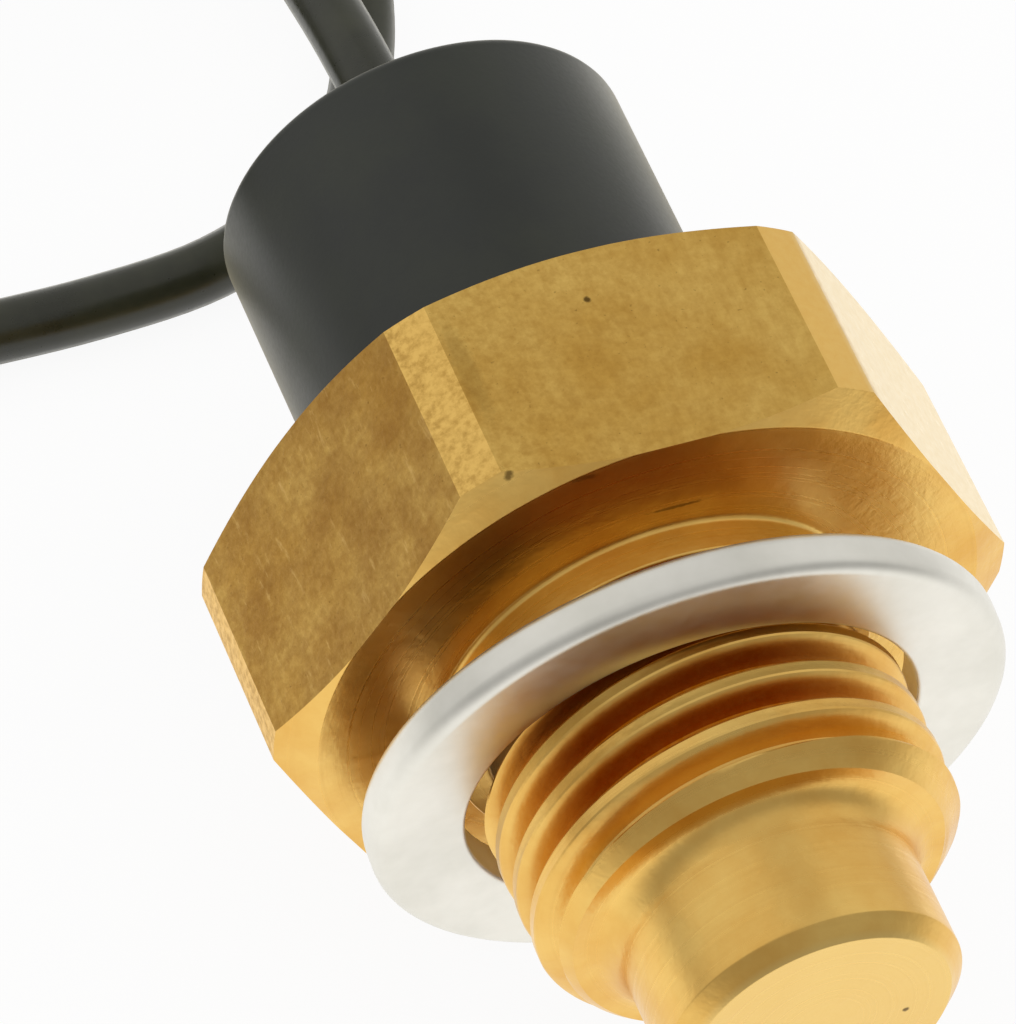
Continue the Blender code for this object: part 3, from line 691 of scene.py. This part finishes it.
# the profile starts and ends on the flat, because its ends aren't rounded
on_flat = (outer - 2.0, thick / 2, 0)
washer_corners = [
    on_flat, (outer, thick / 2, 0.45), (outer, -thick / 2, 0.45),
    (inner, -thick / 2, 0.15), (inner, thick / 2, 0.15), on_flat,
]
washer_mesh = turned_mesh("washer", softened(washer_corners, 6)[:-1], 256, closed=True)
sink = inner - THREAD_CREST - WASHER_PLAY
lean = Euler((WASHER_LEAN, WASHER_TURN, 0)).to_matrix().to_4x4()
washer_mesh.transform(Matrix.Translation((0, -sink, WASHER_PLACE)) @ lean)
washer = finish_object("washer", washer_mesh)
print("washer's width, bore and thickness in mm:", WASHER)

# %% [markdown]
# ## The moulded cap
# The cap is a plain cup of dark plastic, pushed over the spigot. Its rim is only slightly rounded, as a
# mould leaves it, and its end closes round the lead. It is round, so it is turned like the body.

# %% Cap
CAP = 14.0
CAP_MOUTH = -8.4
CAP_END = -20.9
CAP_BORE = 5.8
CAP_END_WALL = 1.6
CAP_CEILING = CAP_END + CAP_END_WALL
LEAD_HOLE = 1.4
cap_corners = [
    ((CAP_BORE + CAP / 2) / 2, CAP_MOUTH, 0), (CAP / 2, CAP_MOUTH, 0.12), (CAP / 2, CAP_END, 0.45),
    (LEAD_HOLE, CAP_END, 0.15), (LEAD_HOLE, CAP_CEILING, 0), (CAP_BORE, CAP_CEILING, 0),
    (CAP_BORE, CAP_MOUTH, 0),
]
cap = finish_object("cap", turned_mesh("cap", softened(cap_corners, 6), closed=True))
print("cap's length in mm:", round(CAP_MOUTH - CAP_END, 2))

# %% [markdown]
# ## The coil's strap
# The coil is held by a short strap with a small locking head. It could be a curve with a bevel, but a
# section with soft corners, carried round the strands in a loop, can be given its real width.

# %% Strap's loop and section
TIE_ANGLE = math.radians(145)
TIE_WIDTH = 2.4
TIE_THICKNESS = 0.5
TIE_SLACK = 0.3
TIE_HALF = LEAD_DIAMETER + TIE_SLACK + TIE_THICKNESS / 2
CORNER_STEPS = 8
SECTION_POINTS = 16
SQUARENESS = 0.35


def strap_loop():
    """Places and outward directions round the coil's four strands, with rounded corners."""
    bend = LEAD_DIAMETER / 2 + TIE_THICKNESS / 2
    loop = []
    for corner, side in enumerate(((1, 1), (-1, 1), (-1, -1), (1, -1))):
        centre = Vector(side) * (TIE_HALF - bend)
        for step in range(CORNER_STEPS + 1):
            angle = math.pi / 2 * (corner + step / CORNER_STEPS)
            normal = Vector((math.cos(angle), math.sin(angle)))
            loop.append((centre + normal * bend, normal))
    return loop


def strap_section():
    """Points across the strap, outwards and along the lead, on a rectangle with soft corners."""
    section = []
    for step in range(SECTION_POINTS):
        angle = math.tau * step / SECTION_POINTS
        out, along = math.cos(angle), math.sin(angle)
        section.append((math.copysign(abs(out) ** SQUARENESS, out) * TIE_THICKNESS / 2,
                        math.copysign(abs(along) ** SQUARENESS, along) * TIE_WIDTH / 2))
    return section


# %% Strap with its locking head
LOCK_SIZE = (2.6, 1.5, 3.2)
LOCK_PLACE = (0.4, 0.7)
LOCK_ROUNDING = 0.3


def strap_mesh():
    """A band bent round the coil's four strands, with rounded edges and a locking head on top."""
    builder = bmesh.new()
    section = strap_section()
    rings = [[builder.verts.new((*(point + normal * out), along)) for out, along in section]
             for point, normal in strap_loop()]
    for one, two in zip(rings, rings[1:] + rings[:1]):
        for index in range(SECTION_POINTS):
            after = (index + 1) % SECTION_POINTS
            builder.faces.new((one[index], one[after], two[after], two[index]))
    lock = bmesh.ops.create_cube(builder, size=1.0)["verts"]
    bmesh.ops.scale(builder, verts=lock, vec=LOCK_SIZE)
    bmesh.ops.translate(builder, verts=lock, vec=(LOCK_PLACE[0], TIE_HALF + LOCK_PLACE[1], 0.0))
    edges = list({edge for vert in lock for edge in vert.link_edges})
    bmesh.ops.bevel(builder, geom=edges, offset=LOCK_ROUNDING, segments=3, affect="EDGES", profile=0.5)
    bmesh.ops.recalc_face_normals(builder, faces=builder.faces)
    mesh = bpy.data.meshes.new("coil_strap")
    builder.to_mesh(mesh)
    builder.free()
    mesh.shade_smooth()
    mesh.set_sharp_from_angle(angle=math.radians(40))
    return mesh


tie_middle = TIE_HALF + TIE_THICKNESS / 2
across = Vector((math.cos(TIE_ANGLE), math.sin(TIE_ANGLE), 0)) * sum(COIL_RADII) / 2
tie_place = COIL_CENTRE + across + Vector((0, 0, tie_middle))
tie_turn = Euler((math.pi / 2, 0, TIE_ANGLE)).to_matrix().to_4x4()
tie = finish_object("coil_strap", strap_mesh(), Matrix.Translation(tie_place * MM) @ tie_turn)
print("strap faces:", len(tie.data.polygons))

# %% [markdown]
# ## The terminal and its boot
# The lead ends in a crimped bullet terminal inside a soft boot. Both are out of the picture, but the
# part is used from every side, so they get the same care. The bullet is a turned part and the boot is
# dipped on a round pin, so both are turned profiles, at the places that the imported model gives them.

# %% Terminal and boot
END = Vector(TAIL_ROUTE[-1])
END_PLACE = Matrix.Translation(END * MM) @ Matrix.Rotation(-math.pi / 2, 4, "X")
bullet_corners = [
    (0.0, 13.3, 0), (0.9, 13.3, 0.3), (2.0, 11.6, 0.8), (2.0, 9.4, 0.2), (1.2, 8.6, 0.2), (1.2, 7.8, 0.2),
    (2.0, 7.0, 0.2), (2.0, 4.3, 0.2), (1.2, 3.1, 0.2), (1.7, 2.6, 0.2), (1.7, -3.1, 0.15), (1.4, -3.1, 0.1),
    (1.4, 0.3, 0), (0.0, 0.3, 0),
]
bullet_mesh = turned_mesh("bullet_plug", softened(bullet_corners, 5), 96)
bullet = finish_object("bullet_plug", bullet_mesh, END_PLACE)
boot_corners = [
    (2.3, 3.57, 0.1), (2.8, 3.57, 0.2), (2.8, -3.1, 0.6), (1.9, -6.43, 0.2), (1.4, -6.43, 0.1),
    (1.4, -3.9, 0.2), (2.3, -3.4, 0.2), (2.3, 3.0, 0),
]
boot_mesh = turned_mesh("soft_boot", softened(boot_corners, 5), 96, closed=True)
boot = finish_object("soft_boot", boot_mesh, END_PLACE)
print("terminal faces:", len(bullet_mesh.polygons), "boot faces:", len(boot_mesh.polygons))

# %% [markdown]
# ## Finishes
# All patterns use the object's own coordinates. Every object sits at the origin, so these are places in
# metres, and the first nodes of each finish turn them into millimetres. A pattern's scale is then its
# real size.

# %% Shared steps for the finishes
def millimetres(tree, origin=(0.0, 0.0, 0.0)):
    """Object coordinates in millimetres from an origin."""
    place = add(tree, "ShaderNodeTexCoord").outputs["Object"]
    moved = add(tree, VECTOR, {0: place, 1: Vector(origin) * MM}, operation="SUBTRACT")
    return add(tree, VECTOR, {0: moved, 1: (1 / MM, 1 / MM, 1 / MM)}, operation="MULTIPLY")


# %% [markdown]
# ## Moulded, drawn and coated surfaces
# Most small parts share one recipe: two close colours in soft blotches, a fine grain that sets the
# roughness and a shallow relief, and for plastics a film of dust that shows where they are seen edge on.
# The sizes are in millimetres, so the same recipe gives tumbled metal, moulded plastic and an extruded
# jacket.

# %% Recipe for a grained surface
DUST = linear("E8E2C4")


def grained(name, dark, light, roughness, metallic, blotch, grain, relief, coat=0.0, dust=0.0):
    """A surface of two close colours. Blotch, grain and relief are sizes in millimetres, and roughness
    is a range."""
    material, tree = new_material(name)
    place = millimetres(tree)
    patches = add(tree, NOISE, {"Vector": place, "Scale": 1 / blotch, "Detail": 4.0, "Roughness": 0.6})
    fine = add(tree, NOISE, {"Vector": place, "Scale": 1 / grain, "Detail": 2.0, "Roughness": 0.5})
    share = add(tree, RANGE, {"Value": patches, "From Min": 0.36, "From Max": 0.66})
    tone = add(tree, MIX, {0: share, 6: linear(dark), 7: linear(light)}, data_type="RGBA")
    grit = add(tree, MATH, {0: fine, 1: 0.4}, operation="MULTIPLY")
    polish = add(tree, MATH, {0: patches, 1: 0.6, 2: grit}, operation="MULTIPLY_ADD")
    rough = add(tree, RANGE, {
        "Value": polish, "From Min": 0.3, "From Max": 0.7, "To Min": roughness[0], "To Max": roughness[1],
    })
    bump = add(tree, "ShaderNodeBump", {"Height": fine, "Distance": relief * MM, "Strength": 0.6})
    shader = add(tree, "ShaderNodeBsdfPrincipled", {
        "Base Color": tone, "Roughness": rough, "Normal": bump, "Metallic": metallic,
        "Coat Weight": coat, "Coat Roughness": 0.2, "Sheen Weight": dust, "Sheen Roughness": 0.3,
        "Sheen Tint": DUST,
    })
    add(tree, "ShaderNodeOutputMaterial", {"Surface": shader})
    return material


# %% Plastics, rubber and the washer
# the cap is injection moulded in glass-filled nylon: satin, with faint flow blotches, and a film of
# fine dust that greys it where it is seen edge on
cap_plastic = grained(
    "glass_filled_nylon", "1A1E15", "262A1C", (0.34, 0.46), 0.0, 5.0, 0.16, 0.006, dust=0.6)
# the jacket is extruded: smooth, with a faint grain and a little dust
lead_plastic = grained(
    "extruded_pvc_jacket", "2A2B1C", "3A3B29", (0.24, 0.38), 0.0, 3.0, 0.25, 0.006, dust=0.6)
# the strap is moulded nylon too, so it is as satin as the cap, but clean and nearly black
tie_plastic = grained("black_nylon_strap", "161616", "222222", (0.35, 0.5), 0.0, 2.0, 0.2, 0.006)
# the boot is soft dipped vinyl, with the thin gloss that the dip leaves
boot_plastic = grained("dipped_vinyl_boot", "20201F", "2C2C2A", (0.3, 0.42), 0.0, 3.0, 0.4, 0.01, coat=0.2)
# the washer is punched from aluminium sheet and tumbled, which leaves fine dents and a satin white
aluminium = grained("tumbled_aluminium", "E0DDD2", "EDEAE0", (0.34, 0.44), 1.0, 3.5, 0.4, 0.006)
# the bullet is machined brass with a tin coat, grey and fairly bright
tinned_brass = grained("tinned_brass", "A9A69B", "D0CDC2", (0.24, 0.36), 1.0, 2.0, 0.2, 0.004)
print("materials so far:", len(bpy.data.materials))

# %% [markdown]
# ## The brass
# The body is one piece of brass with two histories. Its six flats are the skin of the drawn bar: matt,
# pebbly and browned by age. Everything else was turned on a lathe: smoother, brighter, with fine rings
# that follow the tool. The zones could be painted by hand, but the shader can tell them apart by
# geometry. Measured along its own normal, a flat lies 11 mm from the axis and a turned corner more than
# 12 mm, and all other faces lie nearer.

# %% Brass: where a point of the surface lies
brass, tree = new_material("aged_brass")
centred = millimetres(tree, (0, SEAT_Y, HEX_FLATS / 2))
axes = add(tree, "ShaderNodeSeparateXYZ", {0: centred})
sideways = axes.outputs["X"]
across_axis = add(tree, VECTOR, {0: centred, 1: (1, 0, 1)}, operation="MULTIPLY")
radius = add(tree, VECTOR, {0: across_axis}, operation="LENGTH")
along = add(tree, MATH, {0: axes.outputs["Y"], 1: -1.0}, operation="MULTIPLY")
facing = add(tree, "ShaderNodeNewGeometry").outputs["True Normal"]
reach = add(tree, VECTOR, {0: across_axis, 1: facing}, operation="DOT_PRODUCT")
bar_skin = add(tree, RANGE, {"Value": reach, "From Min": 10.6, "From Max": 10.95},
               interpolation_type="SMOOTHSTEP")

# %% [markdown]
# A few noises serve all zones. Their scales say how many fit in a millimetre: clouds 3 mm wide, stains
# of 2 mm, pebbles and lines of 0.3 mm, specks of 0.2 mm and tool rings 0.1 mm apart. The lines are drawn
# out along the bar, as it was when it was made.

# %% Brass: patterns
CLOUDS = 0.30
STAINS = 0.55
PEBBLES = 3.6
LINES = 3.0
SPECKS = 6.0
RINGS = 9.0
clouds = add(tree, NOISE, {"Vector": centred, "Scale": CLOUDS, "Detail": 5.0, "Roughness": 0.6})
stains = add(tree, NOISE, {"Vector": centred, "Scale": STAINS, "Detail": 5.0, "Roughness": 0.7})
pebbles = add(tree, NOISE, {"Vector": centred, "Scale": PEBBLES, "Detail": 4.0, "Roughness": 0.65})
drawn_out = add(tree, VECTOR, {0: centred, 1: (1.0, 0.22, 1.0)}, operation="MULTIPLY")
lines = add(tree, NOISE, {"Vector": drawn_out, "Scale": LINES, "Detail": 4.0, "Roughness": 0.65})
specks = add(tree, NOISE, {"Vector": centred, "Scale": SPECKS, "Detail": 2.0, "Roughness": 0.6})

# %% [markdown]
# How much a point belongs to a zone follows from ramps. In each, a value, such as a noise or the place
# along the axis, goes from one level to another between two limits. A zone is the product of its ramps.

# %% Brass: zones
def zone(tree, *ramps):
    """A share made of ramps, each with its value, where it starts and ends, and its two levels."""
    share = 1.0
    for value, start, end, first, last in ramps:
        ramp = add(tree, RANGE, {
            "Value": value, "From Min": start, "From Max": end, "To Min": first, "To Max": last,
        })
        share = add(tree, MATH, {0: share, 1: ramp}, operation="MULTIPLY")
    return share


# %% [markdown]
# The skin has browned in layers, from wide clouds to dark specks, more on the left than on the right. The
# left flat has brown stains and pale scratches. The turned corners are rubbed bright. The right side is
# painted nearly white: partly clean brass, partly a painted highlight of the light from the right. Each
# layer is a zone and a colour.

# %% Brass: the bar's skin
leftward = (sideways, -5.5, -7.0, 0.0, 1.0)
corner = zone(tree, (reach, 11.3, 12.0, 0.0, 1.0))
smooth_side = zone(tree, (sideways, 4.5, 5.6, 0.0, 1.0))
worn = add(tree, MATH, {0: zone(tree, (pebbles, 0.40, 0.64, 0.95, 0.4)), 1: smooth_side},
           operation="MAXIMUM")
skin_layers = (
    (zone(tree, (clouds, 0.36, 0.66, 0.0, 1.0)), "D3A64F"),
    (zone(tree, (pebbles, 0.36, 0.66, 0.0, 0.34), (sideways, -4.0, 4.0, 1.0, 0.5)), "AA7C30"),
    (zone(tree, (lines, 0.40, 0.66, 0.0, 0.26)), "B68536"),
    (zone(tree, (specks, 0.67, 0.76, 0.0, 0.45)), "6B4718"),
    (zone(tree, (stains, 0.36, 0.64, 0.22, 0.62), leftward), "966628"),
    (zone(tree, (lines, 0.40, 0.28, 0.0, 0.5), leftward), "ECC67C"),
    (add(tree, MATH, {0: corner, 1: worn}, operation="MULTIPLY"), "F4C970"),
    # painted highlight: the right side is painted nearly white, partly clean brass and partly the light
    # from the right
    (zone(tree, (sideways, 6.6, 7.1, 0.0, 0.9)), "F8E4B6"),
)
skin = linear("E6BF68")
for share, colour in skin_layers:
    skin = add(tree, MIX, {0: share, 6: skin, 7: linear(colour)}, data_type="RGBA")

# %% [markdown]
# Turned brass is cleaner, with a warm, uneven tarnish, and the end face is rubbed paler. The thread's
# grooves are painted a darker orange brown, partly old oil and dirt and partly painted shade: thickest next
# to the washer, which shades them, and thin at both sides. The relief under the washer is painted near
# black on its left side, as painted shade in the gap between the washer and the thread.

# %% Brass: turned faces, groove dirt with painted shade, and painted shade under the washer
turned = linear("ECC26C")
turned_layers = (
    (zone(tree, (clouds, 0.36, 0.66, 0.0, 0.6)), "D89F46"),
    (zone(tree, (along, 14.3, 14.5, 0.0, 0.8)), "EAC87C"),
)
for share, colour in turned_layers:
    turned = add(tree, MIX, {0: share, 6: turned, 7: linear(colour)}, data_type="RGBA")
tone = add(tree, MIX, {0: bar_skin, 6: turned, 7: skin}, data_type="RGBA")

# the grooves are painted darker orange brown, partly old oil and dirt, partly painted shade: strongest next
# to the washer, which shades them, and fading towards the lit right side
deep = add(tree, RANGE, {"Value": radius, "From Min": 6.97, "From Max": 6.60},
           interpolation_type="SMOOTHSTEP")
groove_grime_and_shade_zone = zone(
    tree, (along, 9.2, 8.4, 0.0, 1.0), (along, 1.2, 1.6, 0.0, 1.0), (along, 7.1, 7.9, 1.0, 0.15),
    (sideways, 5.5, 1.0, 0.1, 1.0), (sideways, -6.7, -4.6, 0.1, 1.0), (pebbles, 0.3, 0.6, 0.86, 1.0),
)
groove_grime_and_shade = add(tree, MATH, {0: deep, 1: groove_grime_and_shade_zone}, operation="MULTIPLY")
# painted shade: the relief is painted near black on its left side, where the washer shades the gap
painted_gap_shade = zone(
    tree, (along, 1.15, 1.35, 0.0, 1.0), (along, 3.4, 3.0, 0.0, 1.0), (sideways, -2.5, -4.5, 0.0, 0.85),
)
for share, colour in ((groove_grime_and_shade, "B8680C"), (painted_gap_shade, "3A2A12")):
    tone = add(tree, MIX, {0: share, 6: tone, 7: linear(colour)}, data_type="RGBA")

# %% [markdown]
# A few old marks stay where the real sensor has them: pits in the flats and the end face, and streaks
# where a tool skidded on the seat. Each is a small dark ellipsoid with a ragged edge.

# %% Brass: old marks
# place from the seat's centre and half widths, in millimetres, and strength
MARKS = (
    ((-0.6, 6.2, 11.0), (0.15, 0.15, 0.3), 0.8),
    ((-5.3, 0.5, 11.0), (0.20, 0.12, 0.4), 0.7),
    ((-5.1, 4.6, 11.0), (0.45, 2.40, 0.3), 0.18),
    ((2.8, -14.5, -0.3), (0.15, 0.3, 0.12), 0.8),
    ((0.2, 0.0, 7.9), (1.1, 0.3, 0.10), 0.6),
    ((-3.0, 0.0, 10.5), (0.5, 0.3, 0.15), 0.4),
)
for spot, size, strength in MARKS:
    away = add(tree, VECTOR, {0: centred, 1: spot}, operation="SUBTRACT")
    away = add(tree, VECTOR, {0: away, 1: [1 / width for width in size]}, operation="MULTIPLY")
    gap = add(tree, VECTOR, {0: away}, operation="LENGTH")
    ragged = add(tree, MATH, {0: specks, 1: 0.8, 2: gap}, operation="MULTIPLY_ADD")
    mark = zone(tree, (ragged, 1.4, 0.9, 0.0, strength))
    tone = add(tree, MIX, {0: mark, 6: tone, 7: linear("3A2208")}, data_type="RGBA")

# %% [markdown]
# The lathe leaves rings: a noise along one number, which grows outwards on faces and along the axis on
# rounds. The skin is matt and pebbly, the turned faces are satin, and the grooves' dirt and painted shade
# are dull. Soft handling dents lie over everything.

# %% Brass: rings, roughness and relief
ring_place = add(tree, MATH, {0: along, 1: 0.77, 2: radius}, operation="MULTIPLY_ADD")
rings = add(tree, NOISE, {"W": ring_place, "Scale": RINGS, "Detail": 3.0, "Roughness": 0.7},
            noise_dimensions="1D")
lathe_cut = add(tree, MATH, {0: 1.0, 1: bar_skin}, operation="SUBTRACT")
ring_height = add(tree, MATH, {0: rings, 1: lathe_cut}, operation="MULTIPLY")
rough_skin = add(tree, MATH, {0: smooth_side, 1: -0.75, 2: bar_skin}, operation="MULTIPLY_ADD")
skin_height = add(tree, MATH, {0: pebbles, 1: rough_skin}, operation="MULTIPLY")

polished = zone(tree, (sideways, 6.6, 7.1, 0.0, 0.15))
skin_rough = add(tree, MATH, {0: zone(tree, (pebbles, 0.3, 0.7, 0.42, 0.58)), 1: polished},
                 operation="SUBTRACT")
turned_rough = zone(tree, (rings, 0.3, 0.7, 0.26, 0.36))
rough = add(tree, MIX, {0: bar_skin, 2: turned_rough, 3: skin_rough})
rough = add(tree, MATH, {0: groove_grime_and_shade, 1: 0.18, 2: rough}, operation="MULTIPLY_ADD")

relief = add(tree, "ShaderNodeBump", {"Height": ring_height, "Distance": 0.004 * MM, "Strength": 0.5})
for height, depth, strength in ((skin_height, 0.04, 0.6), (clouds, 0.15, 0.5)):
    relief = add(tree, "ShaderNodeBump", {
        "Height": height, "Distance": depth * MM, "Strength": strength, "Normal": relief,
    })
shader = add(tree, "ShaderNodeBsdfPrincipled", {
    "Base Color": tone, "Roughness": rough, "Normal": relief, "Metallic": 1.0,
})
add(tree, "ShaderNodeOutputMaterial", {"Surface": shader})
print("nodes in the brass:", len(tree.nodes))

# %% [markdown]
# ## Parts inside the body
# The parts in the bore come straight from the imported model. Nobody sees them until the sensor is cut
# open, and then each has a finish of its own: satin for pressed, drawn and turned metal, dull for the
# fired disc and the rubber, and glossy for the resin, as it set.

# %% Inner parts' finishes
inner_finishes = {
    "thermistor_disc": grained("sintered_oxide", "3A3632", "4A4540", (0.55, 0.7), 0.0, 0.8, 0.08, 0.004),
    "contact_plate": grained("pressed_brass", "B58B45", "D0A75E", (0.28, 0.4), 1.0, 1.0, 0.1, 0.003),
    "contact_spring": grained("drawn_spring_wire", "8C8D90", "AEB0B2", (0.22, 0.34), 1.0, 0.6, 0.06, 0.002),
    "insulating_sleeve": grained("polyimide_tube", "C2A25A", "D2B46A", (0.35, 0.5), 0.0, 1.5, 0.15, 0.003),
    "centre_pin": grained("turned_pin_brass", "C29A50", "DAB56C", (0.24, 0.36), 1.0, 0.8, 0.08, 0.003),
    "insulating_bush": grained("phenolic_bush", "2A211B", "3A2E25", (0.4, 0.55), 0.0, 1.2, 0.12, 0.004),
    "bush_seal": grained("nitrile_rubber", "141414", "202020", (0.6, 0.8), 0.0, 1.0, 0.1, 0.006),
    "crimp_ferrule": grained("tinned_copper_tube", "B5B1A6", "CFCBC0", (0.26, 0.4), 1.0, 0.8, 0.1, 0.003),
    "lead_core": grained("stranded_copper", "B9683F", "D08355", (0.25, 0.38), 1.0, 0.5, 0.12, 0.01),
    "potting_resin": grained("cast_epoxy", "171614", "23211E", (0.25, 0.4), 0.0, 3.0, 0.5, 0.004),
}
for name, finish in inner_finishes.items():
    node = bpy.data.objects[name]
    for slot in node.material_slots:
        slot.material = finish
print("inner parts dressed:", len(inner_finishes))

# %% [markdown]
# ## The table
# The photograph is a product picture, on a white table that is brighter than anything on it. More lamps
# could whiten the table, but they would also wash out the brass. So its paint glows a little for the
# camera and in reflections, less far away than near, and it still takes the object's shadow.

# %% Table
TABLE_HALF = 3000 * MM
floor_mesh = bpy.data.meshes.new("table")
table_corners = [(x * TABLE_HALF, y * TABLE_HALF, 0) for x, y in ((-1, -1), (1, -1), (1, 1), (-1, 1))]
floor_mesh.from_pydata(table_corners, [], [(0, 1, 2, 3)])
floor = bpy.data.objects.new("table", floor_mesh)
bpy.context.scene.collection.objects.link(floor)
table_paint, tree = new_material("white_table_board")
paint = add(tree, "ShaderNodeBsdfPrincipled", {"Base Color": linear("F4F3F1"), "Roughness": 0.6})
path = add(tree, "ShaderNodeLightPath").outputs
distance = add(tree, VECTOR, {0: millimetres(tree)}, operation="LENGTH")
mirrored = add(tree, RANGE, {
    "Value": distance, "From Min": 45.0, "From Max": 120.0, "To Min": 1.20, "To Max": 0.66,
})
level = add(tree, MIX, {0: path["Is Glossy Ray"], 2: 1.03, 3: mirrored})
seen = add(tree, MATH, {0: path["Is Camera Ray"], 1: path["Is Glossy Ray"]}, operation="MAXIMUM")
share = add(tree, MATH, {0: seen, 1: 0.90}, operation="MULTIPLY")
glow = add(tree, "ShaderNodeEmission", {"Color": (1, 1, 1, 1), "Strength": level})
blend = add(tree, "ShaderNodeMixShader", {0: share, 1: paint, 2: glow})
add(tree, "ShaderNodeOutputMaterial", {"Surface": blend})
floor_mesh.materials.append(table_paint)
print("table's side in m:", 2 * TABLE_HALF)

# %% [markdown]
# ## The room
# The room's walls light the sensor from every side, a little brighter up and behind it, where its top
# flat mirrors them. A picture of a studio could do that too, but one direction and two levels are enough.
# The camera sees plain white instead.

# %% World
world = bpy.data.worlds.new("studio")
bpy.context.scene.world = world
world.use_nodes = True
tree = world.node_tree
tree.nodes.clear()
path = add(tree, "ShaderNodeLightPath").outputs
ray = add(tree, "ShaderNodeTexCoord").outputs["Generated"]
towards = add(tree, VECTOR, {0: ray, 1: (0.10, 0.55, 0.83)}, operation="DOT_PRODUCT")
level = add(tree, RANGE, {
    "Value": towards, "From Min": -0.05, "From Max": 0.50, "To Min": 0.43, "To Max": 0.66,
}, interpolation_type="SMOOTHSTEP")
dim = add(tree, "ShaderNodeBackground", {"Color": (1, 1, 1, 1), "Strength": level})
white = add(tree, "ShaderNodeBackground", {"Color": (1, 1, 1, 1), "Strength": 1.0})
choice = add(tree, "ShaderNodeMixShader", {0: path["Is Camera Ray"], 1: dim, 2: white})
add(tree, "ShaderNodeOutputWorld", {"Surface": choice})
print("nodes in the world:", len(tree.nodes))

# %% [markdown]
# ## The lamps
# Two large soft boxes give the brass its bright sides: a stronger one at the right and a weaker one
# behind on the left. Small lamps would draw hard spots in the metal, and large ones have soft edges.

# %% Lamps
def soft_lamp(name, place, aim, size, power):
    """A square soft lamp at a place in millimetres, facing a point."""
    light = bpy.data.lights.new(name, "AREA")
    light.size = size * MM
    light.energy = power
    lamp = bpy.data.objects.new(name, light)
    bpy.context.scene.collection.objects.link(lamp)
    lamp.location = Vector(place) * MM
    direction = Vector(aim) - Vector(place)
    lamp.rotation_euler = direction.to_track_quat("-Z", "Y").to_euler()


SENSOR_MIDDLE = (0, 0, 10)
soft_lamp("right_softbox", (420, 80, 260), SENSOR_MIDDLE, 600, 0.18)
soft_lamp("left_softbox", (-243, 257, 279), SENSOR_MIDDLE, 500, 0.14)
print("lamps:", len(bpy.data.lights))

# %% [markdown]
# ## Who stands for what
# Each fine piece takes its finish, rides on the body and stands for its plain piece in the imported model.

# %% Stand-ins
stand_ins = (
    (body, brass, "brass_body", ("brass_body",)),
    (washer, aluminium, "sealing_washer", ("sealing_washer",)),
    (cap, cap_plastic, "end_cap", ("end_cap",)),
    (lead, lead_plastic, "lead_plastic", ("lead_tube", "lead_coil", "lead_tail")),
    (tie, tie_plastic, "coil_tie", ("coil_tie",)),
    (bullet, tinned_brass, "bullet_terminal", ("bullet_terminal",)),
    (boot, boot_plastic, "terminal_boot", ("terminal_boot",)),
)
for piece, finish, slot_name, nodes in stand_ins:
    piece.data.materials.clear()
    piece.data.materials.append(finish)
    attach(piece, "root")
    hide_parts(*nodes)
print("fine pieces:", len(stand_ins))

# %% [markdown]
# ## The last setting
# The view transform is set to Standard, and the scene is finished.

# %% View transform
bpy.context.scene.view_settings.view_transform = "Standard"
